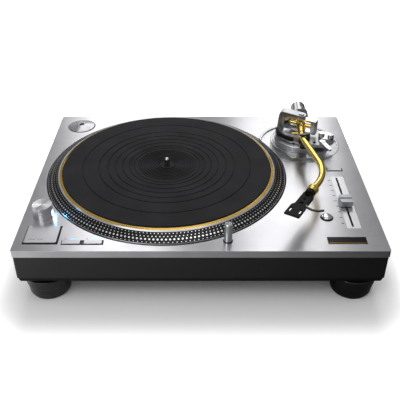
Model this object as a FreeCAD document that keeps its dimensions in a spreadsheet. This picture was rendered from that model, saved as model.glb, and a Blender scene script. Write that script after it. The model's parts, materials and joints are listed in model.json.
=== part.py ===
import FreeCAD, Part
import math
import os
import re
import Sketcher

# Direct-drive record turntable with an S-shaped tonearm, in millimetres.
# Origin: centre of the footprint on the surface that the feet stand on.
# +X runs to the player's right, +Y to the back, +Z up.
# Deck pieces are drawn with z = 0 on the deck, platter pieces about the
# spindle and tonearm pieces about the arm's upright axis, and then seated.

Vector = FreeCAD.Vector
Constraint = Sketcher.Constraint
doc = FreeCAD.newDocument("Turntable")
sheet = doc.addObject("Spreadsheet::Sheet", "Sizes")
pieces = []

# Driving dimensions. Each fills one cell of the sheet, whose alias is its name.
sizes = {
    # Deck and body
    "left_rim": 10.9,  # deck between its left edge and the well
    "arm_side": 105.1,  # deck between the well and its right edge
    "edge_rim": 6.5,  # mean width of the deck before and behind the well
    "plate_height": 10,  # thickness of the metal top plate
    "plate_corner": 3,  # corner radius seen from above
    "body_height": 33.3,  # black body under the top plate
    "body_inset": 0.8,  # step from the top plate's edge to the body
    "body_wall": 5,  # side wall of the body
    "body_web": 4,  # top wall of the body
    "base_height": 7.7,  # rubber base under the body
    "base_inset": 2,  # step from the top plate's edge to the base
    "foot_height": 30,  # height of each foot below the base
    "gap": 0.5,  # visible gap round a loose piece
    "fit": 0.03,  # radial running clearance of a shaft in its bore
    "slip": 0.2,  # clearance of a sliding or pressed button
    # Platter
    "platter_y": 3.5,  # spindle behind the middle of the deck
    "platter_gap": 2.2,  # gap between the platter and the well
    "well_wall": 3.5,  # wall of the well under the top plate
    "well_depth": 17,  # well floor below the deck
    "well_floor": 3,  # thickness of the well floor
    "platter_radius": 166.3,  # outer lip of the platter
    "lip_width": 0.3,  # flat lip outside the dotted slope
    "strobe_width": 14,  # dotted slope, seen from above
    "strobe_low": 0.8,  # height of the slope's foot
    "strobe_high": 8.2,  # height of the slope's top
    "strobe_thickness": 1,  # thickness of the dotted ring
    "silver_width": 2,  # bare bevel inside the dotted slope
    "brass_width": 4.2,  # brass rim that shows round the mat
    "label_radius": 51,  # shallow step in the mat for a record's label
    "mat_top": 12.1,  # top of the mat above the deck
    "mat_thickness": 3,  # thickness of the mat
    "brass_thickness": 1.5,  # sheet under the mat
    "platter_base": -4,  # underside of the platter
    "shaft_radius": 5,  # spindle shaft in its bearing
    "pin_radius": 3.575,  # record pin, the standard 7.15 mm
    "pin_top": 22.8,  # top of the record pin above the deck
    "bearing_radius": 10,  # tube of the main bearing
    "bearing_flange": 24,  # flange of the main bearing
    "bearing_depth": 41.5,  # lower end of the bearing below the deck
    "yoke_thickness": 3,  # rotor plate
    "magnet_width": 21,  # rotor magnet, inner to outer edge
    "magnet_thickness": 4,  # rotor magnet
    "coil_circle": 65,  # radius of the ring of coils
    "coil_radius": 9.5,  # one flat coil
    "coil_height": 3,  # one flat coil
    "coil_count": 9,  # number of coils
    "board_thickness": 1.6,  # circuit boards
    # Tonearm
    "arm_inset": 75.2,  # arm's upright axis from the deck's right edge
    "arm_before": 87.3,  # arm's upright axis from the deck's rear edge
    "dish_radius": 60.1,  # round metal dish round the arm base
    "dish_depth": 1.6,  # floor of the dish below the deck
    "dish_rim": 2.5,  # bright rim of the dish
    "base_radius": 43.5,  # raised arm base
    "base_top": 4.5,  # top of the arm base above the deck
    "ring_radius": 37.5,  # height ring
    "ring_top": 12.4,  # top of the height ring
    "collar_radius": 30,  # threaded collar inside the height ring
    "column_radius": 20,  # lifting column
    "wing_low": 12.8,  # underside of the arm's carrier
    "wing_top": 17,  # top of the arm's carrier
    "bracket_turn": -24,  # bracket seen from above
    "bracket_reach": 27,  # bracket's inner face from the axis
    "bracket_low": 44,  # underside of the bracket's bar
    "bracket_depth": 14,  # bracket, front to back
    "gimbal_turn": -30,  # gimbal ring seen from above
    "gimbal_length": 50,  # gimbal ring, end to end
    "gimbal_height": 21.5,  # gimbal ring
    "gimbal_depth": 10,  # gimbal ring
    "gimbal_end": 7.7,  # end walls of the gimbal ring
    "gimbal_wall": 2.9,  # upper and lower walls of the gimbal ring
    "trunnion_radius": 2,  # upright bearing pins of the gimbal ring
    "pivot_radius": 1.5,  # level bearing pins of the arm
    "arm_height": 32.2,  # arm's centre line above the deck
    "front_turn": -5,  # arm's first run from straight ahead
    "middle_turn": 11.5,  # arm's long run from straight ahead
    "head_turn": -31.3,  # headshell from straight ahead
    "rear_turn": 3.2,  # rear shaft from straight behind
    "tube_radius": 4.4,  # arm tube
    "tube_wall": 0.6,  # arm tube
    "tube_start": 26,  # arm tube's rear end from the axis
    "first_corner": 43.8,  # first bend from the axis
    "middle_run": 97,  # between the two bends' corners
    "last_run": 41.6,  # second bend's corner to the socket
    "first_bend": 60,  # radius of the first bend
    "second_bend": 80,  # radius of the second bend
    "weight_radius": 11.2,  # counterweight
    "dial_radius": 13.5,  # tracking force dial
    "rear_radius": 4,  # rear shaft of the arm
    # Controls
    "start_inset": 32.3,  # start button's centre from the left edge
    "start_ahead": 31.6,  # start button's centre from the front edge
    "start_length": 39.6,  # start button
    "start_width": 33.6,  # start button
    "speed_inset": 83.1,  # middle of the two speed buttons from the left edge
    "speed_ahead": 16.75,  # speed buttons' centres from the front edge
    "speed_pitch": 26.3,  # from one speed button to the other
    "speed_length": 21.8,  # speed button
    "speed_width": 6.7,  # speed button
    "knob_inset": 25.5,  # power knob's axis from the left edge
    "knob_ahead": 72.8,  # power knob's axis from the front edge
    "knob_radius": 12.7,  # power knob and the lamp housing below it
    "knob_low": 10.6,  # joint of knob and housing above the deck
    "knob_top": 17,  # top of the power knob
    "pop_offset": 80,  # stylus lamp's axis to the right of the spindle
    "pop_ahead": 20.3,  # stylus lamp's axis from the front edge
    "pop_radius": 5.1,  # stylus lamp
    "pop_top": 26,  # stylus lamp's top when raised
    "reset_inset": 65.6,  # round button's axis from the right edge
    "reset_ahead": 67.7,  # round button's axis from the front edge
    "reset_radius": 6.8,  # round button
    "fader_inset": 34.4,  # middle of the pitch fader's plate from the right edge
    "fader_gap": 17.75,  # from the middle of the range button to the fader's plate
    "fader_length": 121.2,  # pitch fader's plate
    "fader_width": 18.3,  # pitch fader's plate
    "fader_set": -6.4,  # fader knob from its middle, where the photograph has it
    "range_ahead": 18.85,  # middle of the pitch range button ahead of the arm's dish
    "range_length": 20.4,  # pitch range button
    "range_width": 6.9,  # pitch range button
    "badge_inset": 72.6,  # badge's left edge from the deck's right edge
    "badge_ahead": 13.8,  # badge's front edge from the deck's front edge
    "badge_behind": 17.8,  # gap between the fader's plate and the badge
    "badge_length": 47.6,  # badge
    "badge_width": 13.2,  # badge
    "adaptor_inset": 36.3,  # single adaptor's axis from the left edge
    "adaptor_behind": 34.3,  # single adaptor's axis from the rear edge
    "adaptor_radius": 20.5,  # single adaptor
    "foot_side": 33,  # feet's axes from the side edges
    "foot_end": 28,  # feet's axes from the front and rear edges
    "tray_inset": 56.5,  # recess for the terminals from the left edge
    "tray_length": 110,  # recess for the terminals
    "tray_depth": 14.8,  # recess for the terminals
    "foot_radius": 28.8,  # foot
    "stud_radius": 5,  # threaded stud of a foot
}
# Sizes and places that follow from them.
follows = {
    "well_radius": "platter_radius + platter_gap",
    "deck_length": "left_rim + 2 * well_radius + arm_side",
    # Deep enough for the well, and for the arm and controls at the right.
    "right_column": ("arm_before + dish_radius + range_ahead + fader_gap + fader_length"
                     " + badge_behind + badge_width + badge_ahead"),
    "deck_width": "max(2 * (well_radius + edge_rim); right_column)",
    "right": "deck_length / 2",
    "left": "-deck_length / 2",
    "rear": "deck_width / 2",
    "front": "-deck_width / 2",
    "platter_x": "left + left_rim + well_radius",
    "strobe_outer": "platter_radius - lip_width",
    "strobe_inner": "strobe_outer - strobe_width",
    "plate_rim": "strobe_inner - silver_width",
    "mat_radius": "plate_rim - brass_width",
    "magnet_outer": "coil_circle + magnet_width / 2 + 0.5",
    "magnet_inner": "magnet_outer - magnet_width",
    "yoke_radius": "magnet_outer + 2",
    "arm_x": "right - arm_inset",
    "arm_y": "rear - arm_before",
    "start_x": "left + start_inset",
    "start_y": "front + start_ahead",
    "speed_x": "left + speed_inset",
    "speed_y": "front + speed_ahead",
    "knob_x": "left + knob_inset",
    "knob_y": "front + knob_ahead",
    "pop_x": "platter_x + pop_offset",
    "pop_y": "front + pop_ahead",
    "reset_x": "right - reset_inset",
    "reset_y": "front + reset_ahead",
    "fader_x": "right - fader_inset",
    "fader_y": "range_y - fader_gap - fader_length / 2",
    "range_x": "fader_x - 0.6",
    "range_y": "arm_y - dish_radius - range_ahead",
    "badge_x": "right - badge_inset",
    "badge_y": "front + badge_ahead",
    "adaptor_x": "left + adaptor_inset",
    "adaptor_y": "rear - adaptor_behind",
    "foot_x": "right - foot_side",
    "foot_y": "rear - foot_end",
    "tray_x": "left + tray_inset",
}
for row, (word, number) in enumerate(sizes.items(), 1):
    sheet.set("A%d" % row, word)
    sheet.set("B%d" % row, str(number))
    sheet.setAlias("B%d" % row, word)
doc.recompute()


def named(text):
    """Turn the sheet's words in a formula into references to its cells."""
    def swap(found):
        word = found.group(0)
        if word in follows:
            return "(" + named(follows[word]) + ")"
        return "Sizes." + word if word in sizes else word
    return re.sub(r"[A-Za-z_]\w*", swap, str(text))


def value(text):
    number = sheet.evalExpression(named(text))
    return float(getattr(number, "Value", number))


def bind(thing, prop, text):
    thing.setExpression(prop, named(text))


def seat(thing, x=0, y=0, z=0, angle=None):
    """Place a piece by formulas; angle turns it about its own Z axis."""
    for axis, text in (("x", x), ("y", y), ("z", z)):
        bind(thing, "Placement.Base." + axis, text)
    if angle is not None:
        bind(thing, "Placement.Rotation.Angle", "(%s) * 1deg" % angle)
    return thing


def box(name, x, y, z, length, width, height):
    thing = doc.addObject("Part::Box", name)
    bind(thing, "Length", length)
    bind(thing, "Width", width)
    bind(thing, "Height", height)
    return seat(thing, x, y, z)


def centred_box(name, x, y, z, length, width, height):
    return box(name, "(%s) - (%s) / 2" % (x, length),
               "(%s) - (%s) / 2" % (y, width), z, length, width, height)


def cylinder(name, radius, z, top, x=0, y=0):
    """Upright cylinder from z to top."""
    thing = doc.addObject("Part::Cylinder", name)
    bind(thing, "Radius", radius)
    bind(thing, "Height", "(%s) - (%s)" % (top, z))
    return seat(thing, x, y, z)


def rod(name, radius, start, end, direction, height):
    """Level cylinder along a direction, between two distances from the axis.

    The direction is in degrees from the front (-Y), positive towards +X.
    """
    thing = doc.addObject("Part::Cylinder", name)
    bind(thing, "Radius", radius)
    bind(thing, "Height", "(%s) - (%s)" % (end, start))
    side, ahead = "sin((%s) * 1deg)" % direction, "-cos((%s) * 1deg)" % direction
    seat(thing, "(%s) * %s" % (start, side), "(%s) * (%s)" % (start, ahead), height)
    turn = math.radians(value(direction))
    to = Vector(math.sin(turn), -math.cos(turn), 0)
    thing.Placement.Rotation = FreeCAD.Rotation(Vector(0, 0, 1), to)
    bind(thing, "Placement.Rotation.Angle", "90deg")
    bind(thing, "Placement.Rotation.Axis.x", "cos((%s) * 1deg)" % direction)
    bind(thing, "Placement.Rotation.Axis.y", "sin((%s) * 1deg)" % direction)
    bind(thing, "Placement.Rotation.Axis.z", "0")
    return thing


def outline(body, plane, points, name):
    """Closed sketch whose corners are bound to formulas."""
    sketch = body.newObject("Sketcher::SketchObject", name)
    origin = [f for f in body.Origin.OriginFeatures if f.Role == plane][0]
    sketch.AttachmentSupport = (origin, [""])
    sketch.MapMode = "FlatFace"
    count = len(points)
    spots = [Vector(value(a), value(b), 0) for a, b in points]
    sketch.addGeometry([Part.LineSegment(spots[i], spots[(i + 1) % count])
                        for i in range(count)], False)
    sketch.addConstraint([Constraint("Coincident", i, 2, (i + 1) % count, 1)
                          for i in range(count)])
    for i, corner in enumerate(points):
        for kind, text, at in (("DistanceX", corner[0], spots[i].x),
                               ("DistanceY", corner[1], spots[i].y)):
            index = sketch.addConstraint(Constraint(kind, -1, 1, i, 1, at))
            if re.search("[a-z]", str(text)):
                bind(sketch, "Constraints[%d]" % index, text)
    return sketch


def turned(name, points):
    """Body of revolution about Z from (radius, height) corners."""
    body = doc.addObject("PartDesign::Body", name)
    profile = outline(body, "XZ_Plane", points, name + "_profile")
    spin = body.newObject("PartDesign::Revolution", name + "_turn")
    spin.Profile = profile
    spin.ReferenceAxis = (profile, ["V_Axis"])
    spin.Angle = 360
    profile.Visibility = False
    return body


def prism(name, points, z, height, plane="XY_Plane", rounding=None):
    """Padded outline; upright edges may be rounded."""
    body = doc.addObject("PartDesign::Body", name)
    profile = outline(body, plane, points, name + "_profile")
    pad = body.newObject("PartDesign::Pad", name + "_pad")
    pad.Profile = profile
    bind(pad, "Length", height)
    if plane != "XY_Plane":
        pad.Midplane = True
    profile.Visibility = False
    if rounding:
        doc.recompute()
        sides = ["Edge%d" % (i + 1) for i, edge in enumerate(pad.Shape.Edges)
                 if abs(edge.tangentAt(edge.FirstParameter).z) > 0.99]
        curve = body.newObject("PartDesign::Fillet", name + "_rounding")
        curve.Base = (pad, sides)
        bind(curve, "Radius", rounding)
        body.Tip = curve
    seat(body, 0, 0, z)
    return body


def fuse(name, things):
    thing = doc.addObject("Part::MultiFuse", name)
    thing.Shapes = things
    return thing


def cut(name, base, tools):
    thing = doc.addObject("Part::Cut", name)
    thing.Base = base
    thing.Tool = tools[0] if len(tools) == 1 else fuse(name + "_openings", tools)
    return thing


def common(name, one, other):
    thing = doc.addObject("Part::Common", name)
    thing.Base = one
    thing.Tool = other
    return thing


def keep(thing, node):
    """Name a finished piece; its label is the node's name."""
    thing.Label = node
    pieces.append(thing)
    return thing

DECK = "(foot_height + base_height + body_height + plate_height)"
PLATE = "-plate_height"
BODY = "-(plate_height + body_height)"
BASE = "-(plate_height + body_height + base_height)"
WELL = "-well_depth"


def rectangle(length, width):
    return [("-(%s) / 2" % length, "-(%s) / 2" % width),
            ("(%s) / 2" % length, "-(%s) / 2" % width),
            ("(%s) / 2" % length, "(%s) / 2" % width),
            ("-(%s) / 2" % length, "(%s) / 2" % width)]


CORNERS = ((-1, 1, "front_left"), (1, 1, "front_right"),
           (-1, -1, "rear_left"), (1, -1, "rear_right"))
SCREWS = (("left + 12.5", "rear - 65"), ("left + 12.5", "front + 65"),
          ("right - 12.5", "rear - 115"), ("right - 12.5", "front + 115"),
          ("right - 136.5", "rear - 9"), ("right - 136.5", "front + 9"))

# Top plate: one thick plate with an opening for each thing that stands in it.
slab = prism("slab", rectangle("deck_length", "deck_width"), PLATE,
             "plate_height", rounding="plate_corner")
openings = [
    cylinder("well_opening", "well_radius", "-20", "5", "platter_x", "platter_y"),
    cylinder("arm_opening", "dish_radius + gap", "-20", "5", "arm_x", "arm_y"),
    cylinder("adaptor_recess", "adaptor_radius + 1", "-7", "5", "adaptor_x", "adaptor_y"),
    centred_box("start_opening", "start_x", "start_y", "-20",
                "start_length + 1.4", "start_width + 1.4", "30"),
    box("speed_opening", "speed_x - (speed_pitch + speed_length + 0.7) / 2",
        "speed_y - speed_width / 2 - slip", "-20", "speed_pitch + speed_length + 1",
        "speed_width + 2 * slip", "30"),
    cylinder("knob_opening", "knob_radius + slip", "-20", "5", "knob_x", "knob_y"),
    cylinder("pop_opening", "pop_radius + 1.1", "-20", "5", "pop_x", "pop_y"),
    cylinder("reset_opening", "reset_radius + 1.7", "-20", "5", "reset_x", "reset_y"),
    centred_box("range_opening", "range_x", "range_y", "-20", "range_length + 0.6",
                "range_width + 0.6", "30"),
    centred_box("fader_recess", "fader_x", "fader_y", "-1.4",
                "fader_width", "fader_length", "5"),
    centred_box("fader_opening", "fader_x - 1.4", "fader_y", "-20", "9",
                "fader_length - 6.4", "30"),
    box("badge_recess", "badge_x", "badge_y", "-1", "badge_length", "badge_width", "5"),
]
top_plate = keep(seat(cut("plate", slab, openings), 0, 0, DECK), "top_plate")

# Body: open below, with the well, bosses for screws and feet, and the
# collars that show round the small controls.
shell = prism("shell", rectangle("deck_length - 2 * body_inset",
                                 "deck_width - 2 * body_inset"), BODY,
              "body_height", rounding="plate_corner")
hollow = centred_box("hollow", 0, 0, BODY + " - 1",
                     "deck_length - 2 * (body_inset + body_wall)",
                     "deck_width - 2 * (body_inset + body_wall)",
                     "body_height - body_web + 1")
parts = [cut("shell_hollowed", shell, [hollow])]
# The well's wall stops at the body's own walls, front and back.
parts.append(common("well_solid",
                    cylinder("well_round", "well_radius + well_wall",
                             WELL + " - well_floor", PLATE, "platter_x", "platter_y"),
                    centred_box("well_limit", 0, 0, "-60", "deck_length - 2 * body_inset",
                                "deck_width - 2 * body_inset", "80")))
for number, (x, y) in enumerate(SCREWS):
    parts.append(cylinder("post_%d" % number, "4", BODY,
                          PLATE + " - body_web / 2", x, y))
for x, y, corner in CORNERS:
    parts.append(cylinder("boss_" + corner, "stud_radius + 4", BODY,
                          PLATE + " - body_web / 2",
                          "foot_x * %d" % x, "foot_y * %d" % -y))
parts.append(box("speed_divider", "speed_x - 1.9", "speed_y - speed_width / 2",
                 PLATE + " - 1", "speed_pitch - speed_length - 1", "speed_width",
                 "plate_height + 0.8"))
parts.append(cylinder("pop_collar", "pop_radius + 0.9", PLATE + " - 1", "0.5",
                      "pop_x", "pop_y"))
parts.append(cylinder("reset_collar", "reset_radius + 1.5", PLATE + " - 1", "0.3",
                      "reset_x", "reset_y"))
openings = [
    cylinder("well_hollow", "well_radius", WELL, "5", "platter_x", "platter_y"),
    cylinder("bearing_hole", "bearing_radius + fit", "-30", "5", "platter_x", "platter_y"),
    cylinder("column_hole", "collar_radius", "-60", "5", "arm_x", "arm_y"),
    centred_box("speed_well_left", "speed_x - speed_pitch / 2", "speed_y", "-30",
                "speed_length - 4.3", "speed_width - 3.2", "40"),
    centred_box("speed_well_right", "speed_x + speed_pitch / 2", "speed_y", "-30",
                "speed_length - 4.3", "speed_width - 3.2", "40"),
    cylinder("knob_hole", "5", "-30", "0", "knob_x", "knob_y"),
    cylinder("pop_hole", "pop_radius + slip", "-60", "5", "pop_x", "pop_y"),
    cylinder("reset_hole", "reset_radius + slip", "-30", "5", "reset_x", "reset_y"),
    centred_box("range_hole", "range_x", "range_y", "-30", "range_length - 5.4",
                "range_width - 2.4", "40"),
    centred_box("fader_hole", "fader_x - 1.4", "fader_y", "-30", "4",
                "fader_length - 9", "40"),
    box("rear_opening", "tray_x", "rear - tray_depth - 0.2", "-38", "tray_length", "20", "22"),
]
for number, (x, y) in enumerate(SCREWS):
    openings.append(cylinder("post_hole_%d" % number, "1.5", BODY + " - 1", "-24", x, y))
for x, y, corner in CORNERS:
    openings.append(cylinder("stud_hole_" + corner, "stud_radius + fit",
                             BODY + " - 1", "-18",
                             "foot_x * %d" % x, "foot_y * %d" % -y))
chassis = cut("chassis", fuse("chassis_solid", parts), openings)
keep(seat(chassis, 0, 0, DECK), "cast_chassis")

# Rubber base with rounded lower edges, its screws, and the rear terminals.
base = doc.addObject("PartDesign::Body", "base")
base_profile = outline(base, "XY_Plane", rectangle("deck_length - 2 * base_inset",
                                                   "deck_width - 2 * base_inset"), "base_profile")
base_pad = base.newObject("PartDesign::Pad", "base_pad")
base_pad.Profile = base_profile
bind(base_pad, "Length", "base_height")
doc.recompute()
low = ["Edge%d" % (i + 1) for i, edge in enumerate(base_pad.Shape.Edges)
       if edge.BoundBox.ZMax < 0.01 or edge.BoundBox.ZLength > 1]
base_round = base.newObject("PartDesign::Fillet", "base_rounding")
base_round.Base = (base_pad, low)
bind(base_round, "Radius", "base_height / 2")
base.Tip = base_round
seat(base, 0, 0, BASE)
openings = []
for number, (x, y) in enumerate(SCREWS):
    openings.append(cylinder("base_hole_%d" % number, "1.5", BASE + " - 1",
                             BODY + " + 1", x, y))
    openings.append(cylinder("base_seat_%d" % number, "4.2", BASE + " - 1",
                             BASE + " + 3", x, y))
for x, y, corner in CORNERS:
    openings.append(cylinder("base_stud_" + corner, "stud_radius + slip", BASE + " - 1",
                             BODY + " + 1", "foot_x * %d" % x, "foot_y * %d" % -y))
keep(seat(cut("base_cut", base, openings), 0, 0, DECK), "rubber_base")
screws = []
for number, (x, y) in enumerate(SCREWS):
    screws.append(fuse("screw_%d" % number, [
        cylinder("screw_shank_%d" % number, "1.5", BASE + " + 2", "-24", x, y),
        cylinder("screw_head_%d" % number, "3.8", BASE + " + 1", BASE + " + 3", x, y)]))
keep(seat(fuse("screws", screws), 0, 0, DECK), "base_screws")

tray = cut("tray", box("tray_block", "tray_x", "rear - tray_depth", "-38", "tray_length",
                       "tray_depth - 0.8", "22"),
           [box("tray_hollow", "tray_x + 2", "rear - tray_depth + 2", "-36",
                "tray_length - 4", "20", "18"),
            box("inlet_hole", "tray_x + 73", "rear - 25", "-34", "24", "30", "14"),
            cylinder("tray_wire", "3", "-60", "-37", "tray_x + 30", "rear - 8")])
keep(seat(tray, 0, 0, DECK), "terminal_panel")
inlet = cut("inlet", box("inlet_block", "tray_x + 73", "rear - 27", "-34", "24",
                         "22", "14"),
            [box("inlet_socket", "tray_x + 75.5", "rear - 19", "-31.5", "19", "20", "9")])
pins = [box("inlet_pin_%d" % i, x, "rear - 19", "-28.5", "1.6", "9", "3")
        for i, x in enumerate(("tray_x + 79.2", "tray_x + 89.7"))]
keep(seat(fuse("inlet_whole", [inlet] + pins), 0, 0, DECK), "mains_inlet")


def socket(name, x, z, radius, bore, reach):
    """Round terminal that stands out of the tray's back wall."""
    things = []
    for suffix, r in (("_body", radius), ("_bore", bore)):
        thing = doc.addObject("Part::Cylinder", name + suffix)
        bind(thing, "Radius", r)
        bind(thing, "Height", reach)
        thing.Placement.Rotation = FreeCAD.Rotation(Vector(1, 0, 0), -90)
        seat(thing, x, "rear - tray_depth + " + ("2" if suffix == "_body" else "4"), z)
        things.append(thing)
    return cut(name, things[0], [things[1]])


keep(seat(fuse("jacks", [socket("jack_left", "tray_x + 14", "-27", "4.2", "1.6", "9"),
                         socket("jack_right", "tray_x + 32", "-27", "4.2", "1.6", "9")]),
          0, 0, DECK), "phono_jacks")
keep(seat(socket("earth", "tray_x + 52", "-27", "3.6", "1.2", "8"), 0, 0, DECK),
     "ground_terminal")

# Plates on the deck and the lamp housing beside the platter.
keep(box("badge", "badge_x + slip / 2", "badge_y + slip / 2", DECK + " - 1",
         "badge_length - slip", "badge_width - slip", "1.6"), "name_plate")
fader_sheet = cut("fader_sheet",
                  centred_box("fader_blank", "fader_x", "fader_y", "-1.4",
                              "fader_width - slip", "fader_length - slip", "1.2"),
                  [centred_box("fader_slot", "fader_x - 1.4", "fader_y", "-5", "2.4",
                               "fader_length - 7.6", "10")])
keep(seat(fader_sheet, 0, 0, DECK), "fader_plate")
lamp = cut("lamp_cut", turned("lamp_body", [
    (0, PLATE), ("knob_radius", PLATE), ("knob_radius", "knob_low - 0.3"),
    ("knob_radius - 0.4", "knob_low - 0.1"), (0, "knob_low - 0.1")]),
    [box("lamp_window", "7.5", "-4.5", "1", "8", "9", "8.4"),
     cylinder("lamp_bore", "3 + fit", "-20", "20")])
keep(seat(lamp, "knob_x", "knob_y", DECK), "strobe_housing")
window = common("window", turned("window_arc", [
    ("8.5", "1"), ("knob_radius - 0.2", "1"), ("knob_radius - 0.2", "9.4"), ("8.5", "9.4")]),
    box("window_block", "7.5", "-4.5", "1", "8", "9", "8.4"))
keep(seat(window, "knob_x", "knob_y", DECK), "strobe_window")

# Main bearing, motor and the electronics under the deck.
bearing = turned("bearing", [
    ("shaft_radius + fit", WELL + " + 3.5"), ("bearing_flange", WELL + " + 3.5"),
    ("bearing_flange", WELL), ("bearing_radius", WELL),
    ("bearing_radius", "-bearing_depth"), (0, "-bearing_depth"),
    (0, "-bearing_depth + 2"), ("shaft_radius + fit", "-bearing_depth + 2")])
keep(seat(bearing, "platter_x", "platter_y", DECK), "bearing_housing")
stator = turned("stator", [
    ("bearing_flange + 1", WELL), ("yoke_radius + 2", WELL),
    ("yoke_radius + 2", WELL + " + board_thickness"),
    ("bearing_flange + 1", WELL + " + board_thickness")])
keep(seat(stator, "platter_x", "platter_y", DECK), "stator_board")
coils = doc.addObject("PartDesign::Body", "coils")
carrier = outline(coils, "XZ_Plane", [("coil_circle - 2", "0"), ("coil_circle + 2", "0"),
                                      ("coil_circle + 2", "0.6"),
                                      ("coil_circle - 2", "0.6")], "carrier_profile")
carrier_turn = coils.newObject("PartDesign::Revolution", "carrier_turn")
carrier_turn.Profile = carrier
carrier_turn.ReferenceAxis = (carrier, ["V_Axis"])
carrier_turn.Angle = 360
coil = coils.newObject("Sketcher::SketchObject", "coil_profile")
coil.AttachmentSupport = ([f for f in coils.Origin.OriginFeatures
                           if f.Role == "XY_Plane"][0], [""])
coil.MapMode = "FlatFace"
for index, (word, radius) in enumerate((("coil_radius", 9.5), ("coil_radius / 2", 4.75))):
    coil.addGeometry(Part.Circle(Vector(value("coil_circle"), 0, 0), Vector(0, 0, 1),
                                 value(word)), False)
    coil.addConstraint(Constraint("PointOnObject", index, 3, -1))
    for kind, text in (("DistanceX", "coil_circle"), ("Radius", word)):
        place = (-1, 1, index, 3) if kind == "DistanceX" else (index,)
        number = coil.addConstraint(Constraint(kind, *place, value(text)))
        bind(coil, "Constraints[%d]" % number, text)
coil_pad = coils.newObject("PartDesign::Pad", "coil_pad")
coil_pad.Profile = coil
bind(coil_pad, "Length", "coil_height")
ring_of_coils = coils.newObject("PartDesign::PolarPattern", "ring_of_coils")
ring_of_coils.Originals = [coil_pad]
ring_of_coils.Axis = (coil, ["N_Axis"])
ring_of_coils.Angle = 360
bind(ring_of_coils, "Occurrences", "coil_count")
coils.Tip = ring_of_coils
for sketch in (carrier, coil):
    sketch.Visibility = False
keep(seat(coils, "platter_x", "platter_y",
          DECK + " + (" + WELL + ") + board_thickness"), "stator_coils")
supply = cut("supply", box("supply_block", 0, 0, BODY, "62", "50", "26"),
             [box("supply_gap_%d" % i, x, "-10", BODY + " + 6", "12", "70", "14")
              for i, x in enumerate(("12", "38"))])
supply_coil = box("supply_coil", "12", "4", BODY + " + 7", "38", "42", "12")
keep(seat(fuse("supply_whole", [supply, supply_coil]), "right - 126.5", "front + 25",
          DECK), "power_supply")
board = [box("board", 0, 0, BODY + " + 4", "120", "60", "board_thickness")]
for i, (x, y) in enumerate(((4, 4), (116, 4), (4, 56), (116, 56))):
    board.append(cylinder("standoff_%d" % i, "2.5", BODY, BODY + " + 5", x, y))
for i, (x, y, w, d, t) in enumerate(((15, 10, 14, 14, 2.5), (45, 15, 30, 10, 12),
                                     (90, 30, 16, 16, 3), (25, 42, 22, 8, 6))):
    board.append(box("chip_%d" % i, x, y, BODY + " + 5", w, d, t))
keep(seat(fuse("electronics", board), "platter_x + 2.1", "front + 25", DECK),
     "control_board")

# Platter assembly, about the spindle.
SLOPE = "((strobe_high - strobe_low) / (strobe_outer - strobe_inner))"
platter = turned("platter_casting", [
    ("shaft_radius", "platter_base"), ("yoke_radius + 7", "platter_base"),
    ("yoke_radius + 10", "platter_base + 6"), ("strobe_inner", "platter_base + 5"),
    ("strobe_inner + 4", "platter_base"),
    ("platter_radius - 4", "platter_base"), ("platter_radius", "platter_base + 1.5"),
    ("platter_radius", "strobe_low"), ("strobe_outer", "strobe_low"),
    ("strobe_outer - strobe_thickness * 0.467", "strobe_low - strobe_thickness * 0.884"),
    ("strobe_inner - strobe_thickness * 0.467", "strobe_high - strobe_thickness * 0.884"),
    ("strobe_inner", "strobe_high"), ("plate_rim", "strobe_high + 1.2"),
    ("plate_rim", "mat_top - mat_thickness - brass_thickness"),
    ("shaft_radius", "mat_top - mat_thickness - brass_thickness")])
keep(seat(platter, "platter_x", "platter_y", DECK), "platter")
dotted = turned("dotted_ring", [
    ("strobe_outer", "strobe_low"),
    ("strobe_inner", "strobe_high"),
    ("strobe_inner - strobe_thickness * 0.467", "strobe_high - strobe_thickness * 0.884"),
    ("strobe_outer - strobe_thickness * 0.467", "strobe_low - strobe_thickness * 0.884")])
keep(seat(dotted, "platter_x", "platter_y", DECK), "strobe_band")
brass = turned("brass", [
    ("pin_radius + slip", "mat_top - mat_thickness - brass_thickness"),
    ("plate_rim", "mat_top - mat_thickness - brass_thickness"),
    ("plate_rim", "strobe_high + 1.2"), ("mat_radius + 0.5", "strobe_high + 2.1"),
    ("mat_radius + 0.1", "mat_top - mat_thickness"),
    ("pin_radius + slip", "mat_top - mat_thickness")])
keep(seat(brass, "platter_x", "platter_y", DECK), "brass_plate")
mat = turned("mat_sheet", [
    ("pin_radius + slip", "mat_top - mat_thickness"),
    ("mat_radius", "mat_top - mat_thickness"), ("mat_radius", "mat_top - 0.8"),
    ("mat_radius - 0.8", "mat_top"), ("label_radius", "mat_top"), ("label_radius - 0.5", "mat_top - 0.5"),
    ("pin_radius + slip", "mat_top - 0.5")])
keep(seat(mat, "platter_x", "platter_y", DECK), "mat")
spindle = turned("spindle", [
    (0, "-bearing_depth + 2.1"), ("shaft_radius - 1", "-bearing_depth + 2.1"),
    ("shaft_radius", "-bearing_depth + 3.1"),
    ("shaft_radius", "mat_top - mat_thickness - brass_thickness"),
    ("pin_radius - 0.2", "mat_top - mat_thickness - brass_thickness"),
    ("pin_radius - 0.2", "mat_top + slip"), ("pin_radius", "mat_top + slip"),
    ("pin_radius", "pin_top - 3"), ("pin_radius * 0.75", "pin_top - 1"),
    ("pin_radius * 0.35", "pin_top"), (0, "pin_top")])
keep(seat(spindle, "platter_x", "platter_y", DECK), "spindle_shaft")
yoke = turned("yoke", [
    ("12", "platter_base - yoke_thickness"), ("yoke_radius", "platter_base - yoke_thickness"),
    ("yoke_radius", "platter_base"), ("12", "platter_base")])
keep(seat(yoke, "platter_x", "platter_y", DECK), "rotor_yoke")
magnet = turned("magnet", [
    ("magnet_inner", "platter_base - yoke_thickness - magnet_thickness"),
    ("magnet_outer", "platter_base - yoke_thickness - magnet_thickness"),
    ("magnet_outer", "platter_base - yoke_thickness"),
    ("magnet_inner", "platter_base - yoke_thickness")])
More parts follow.
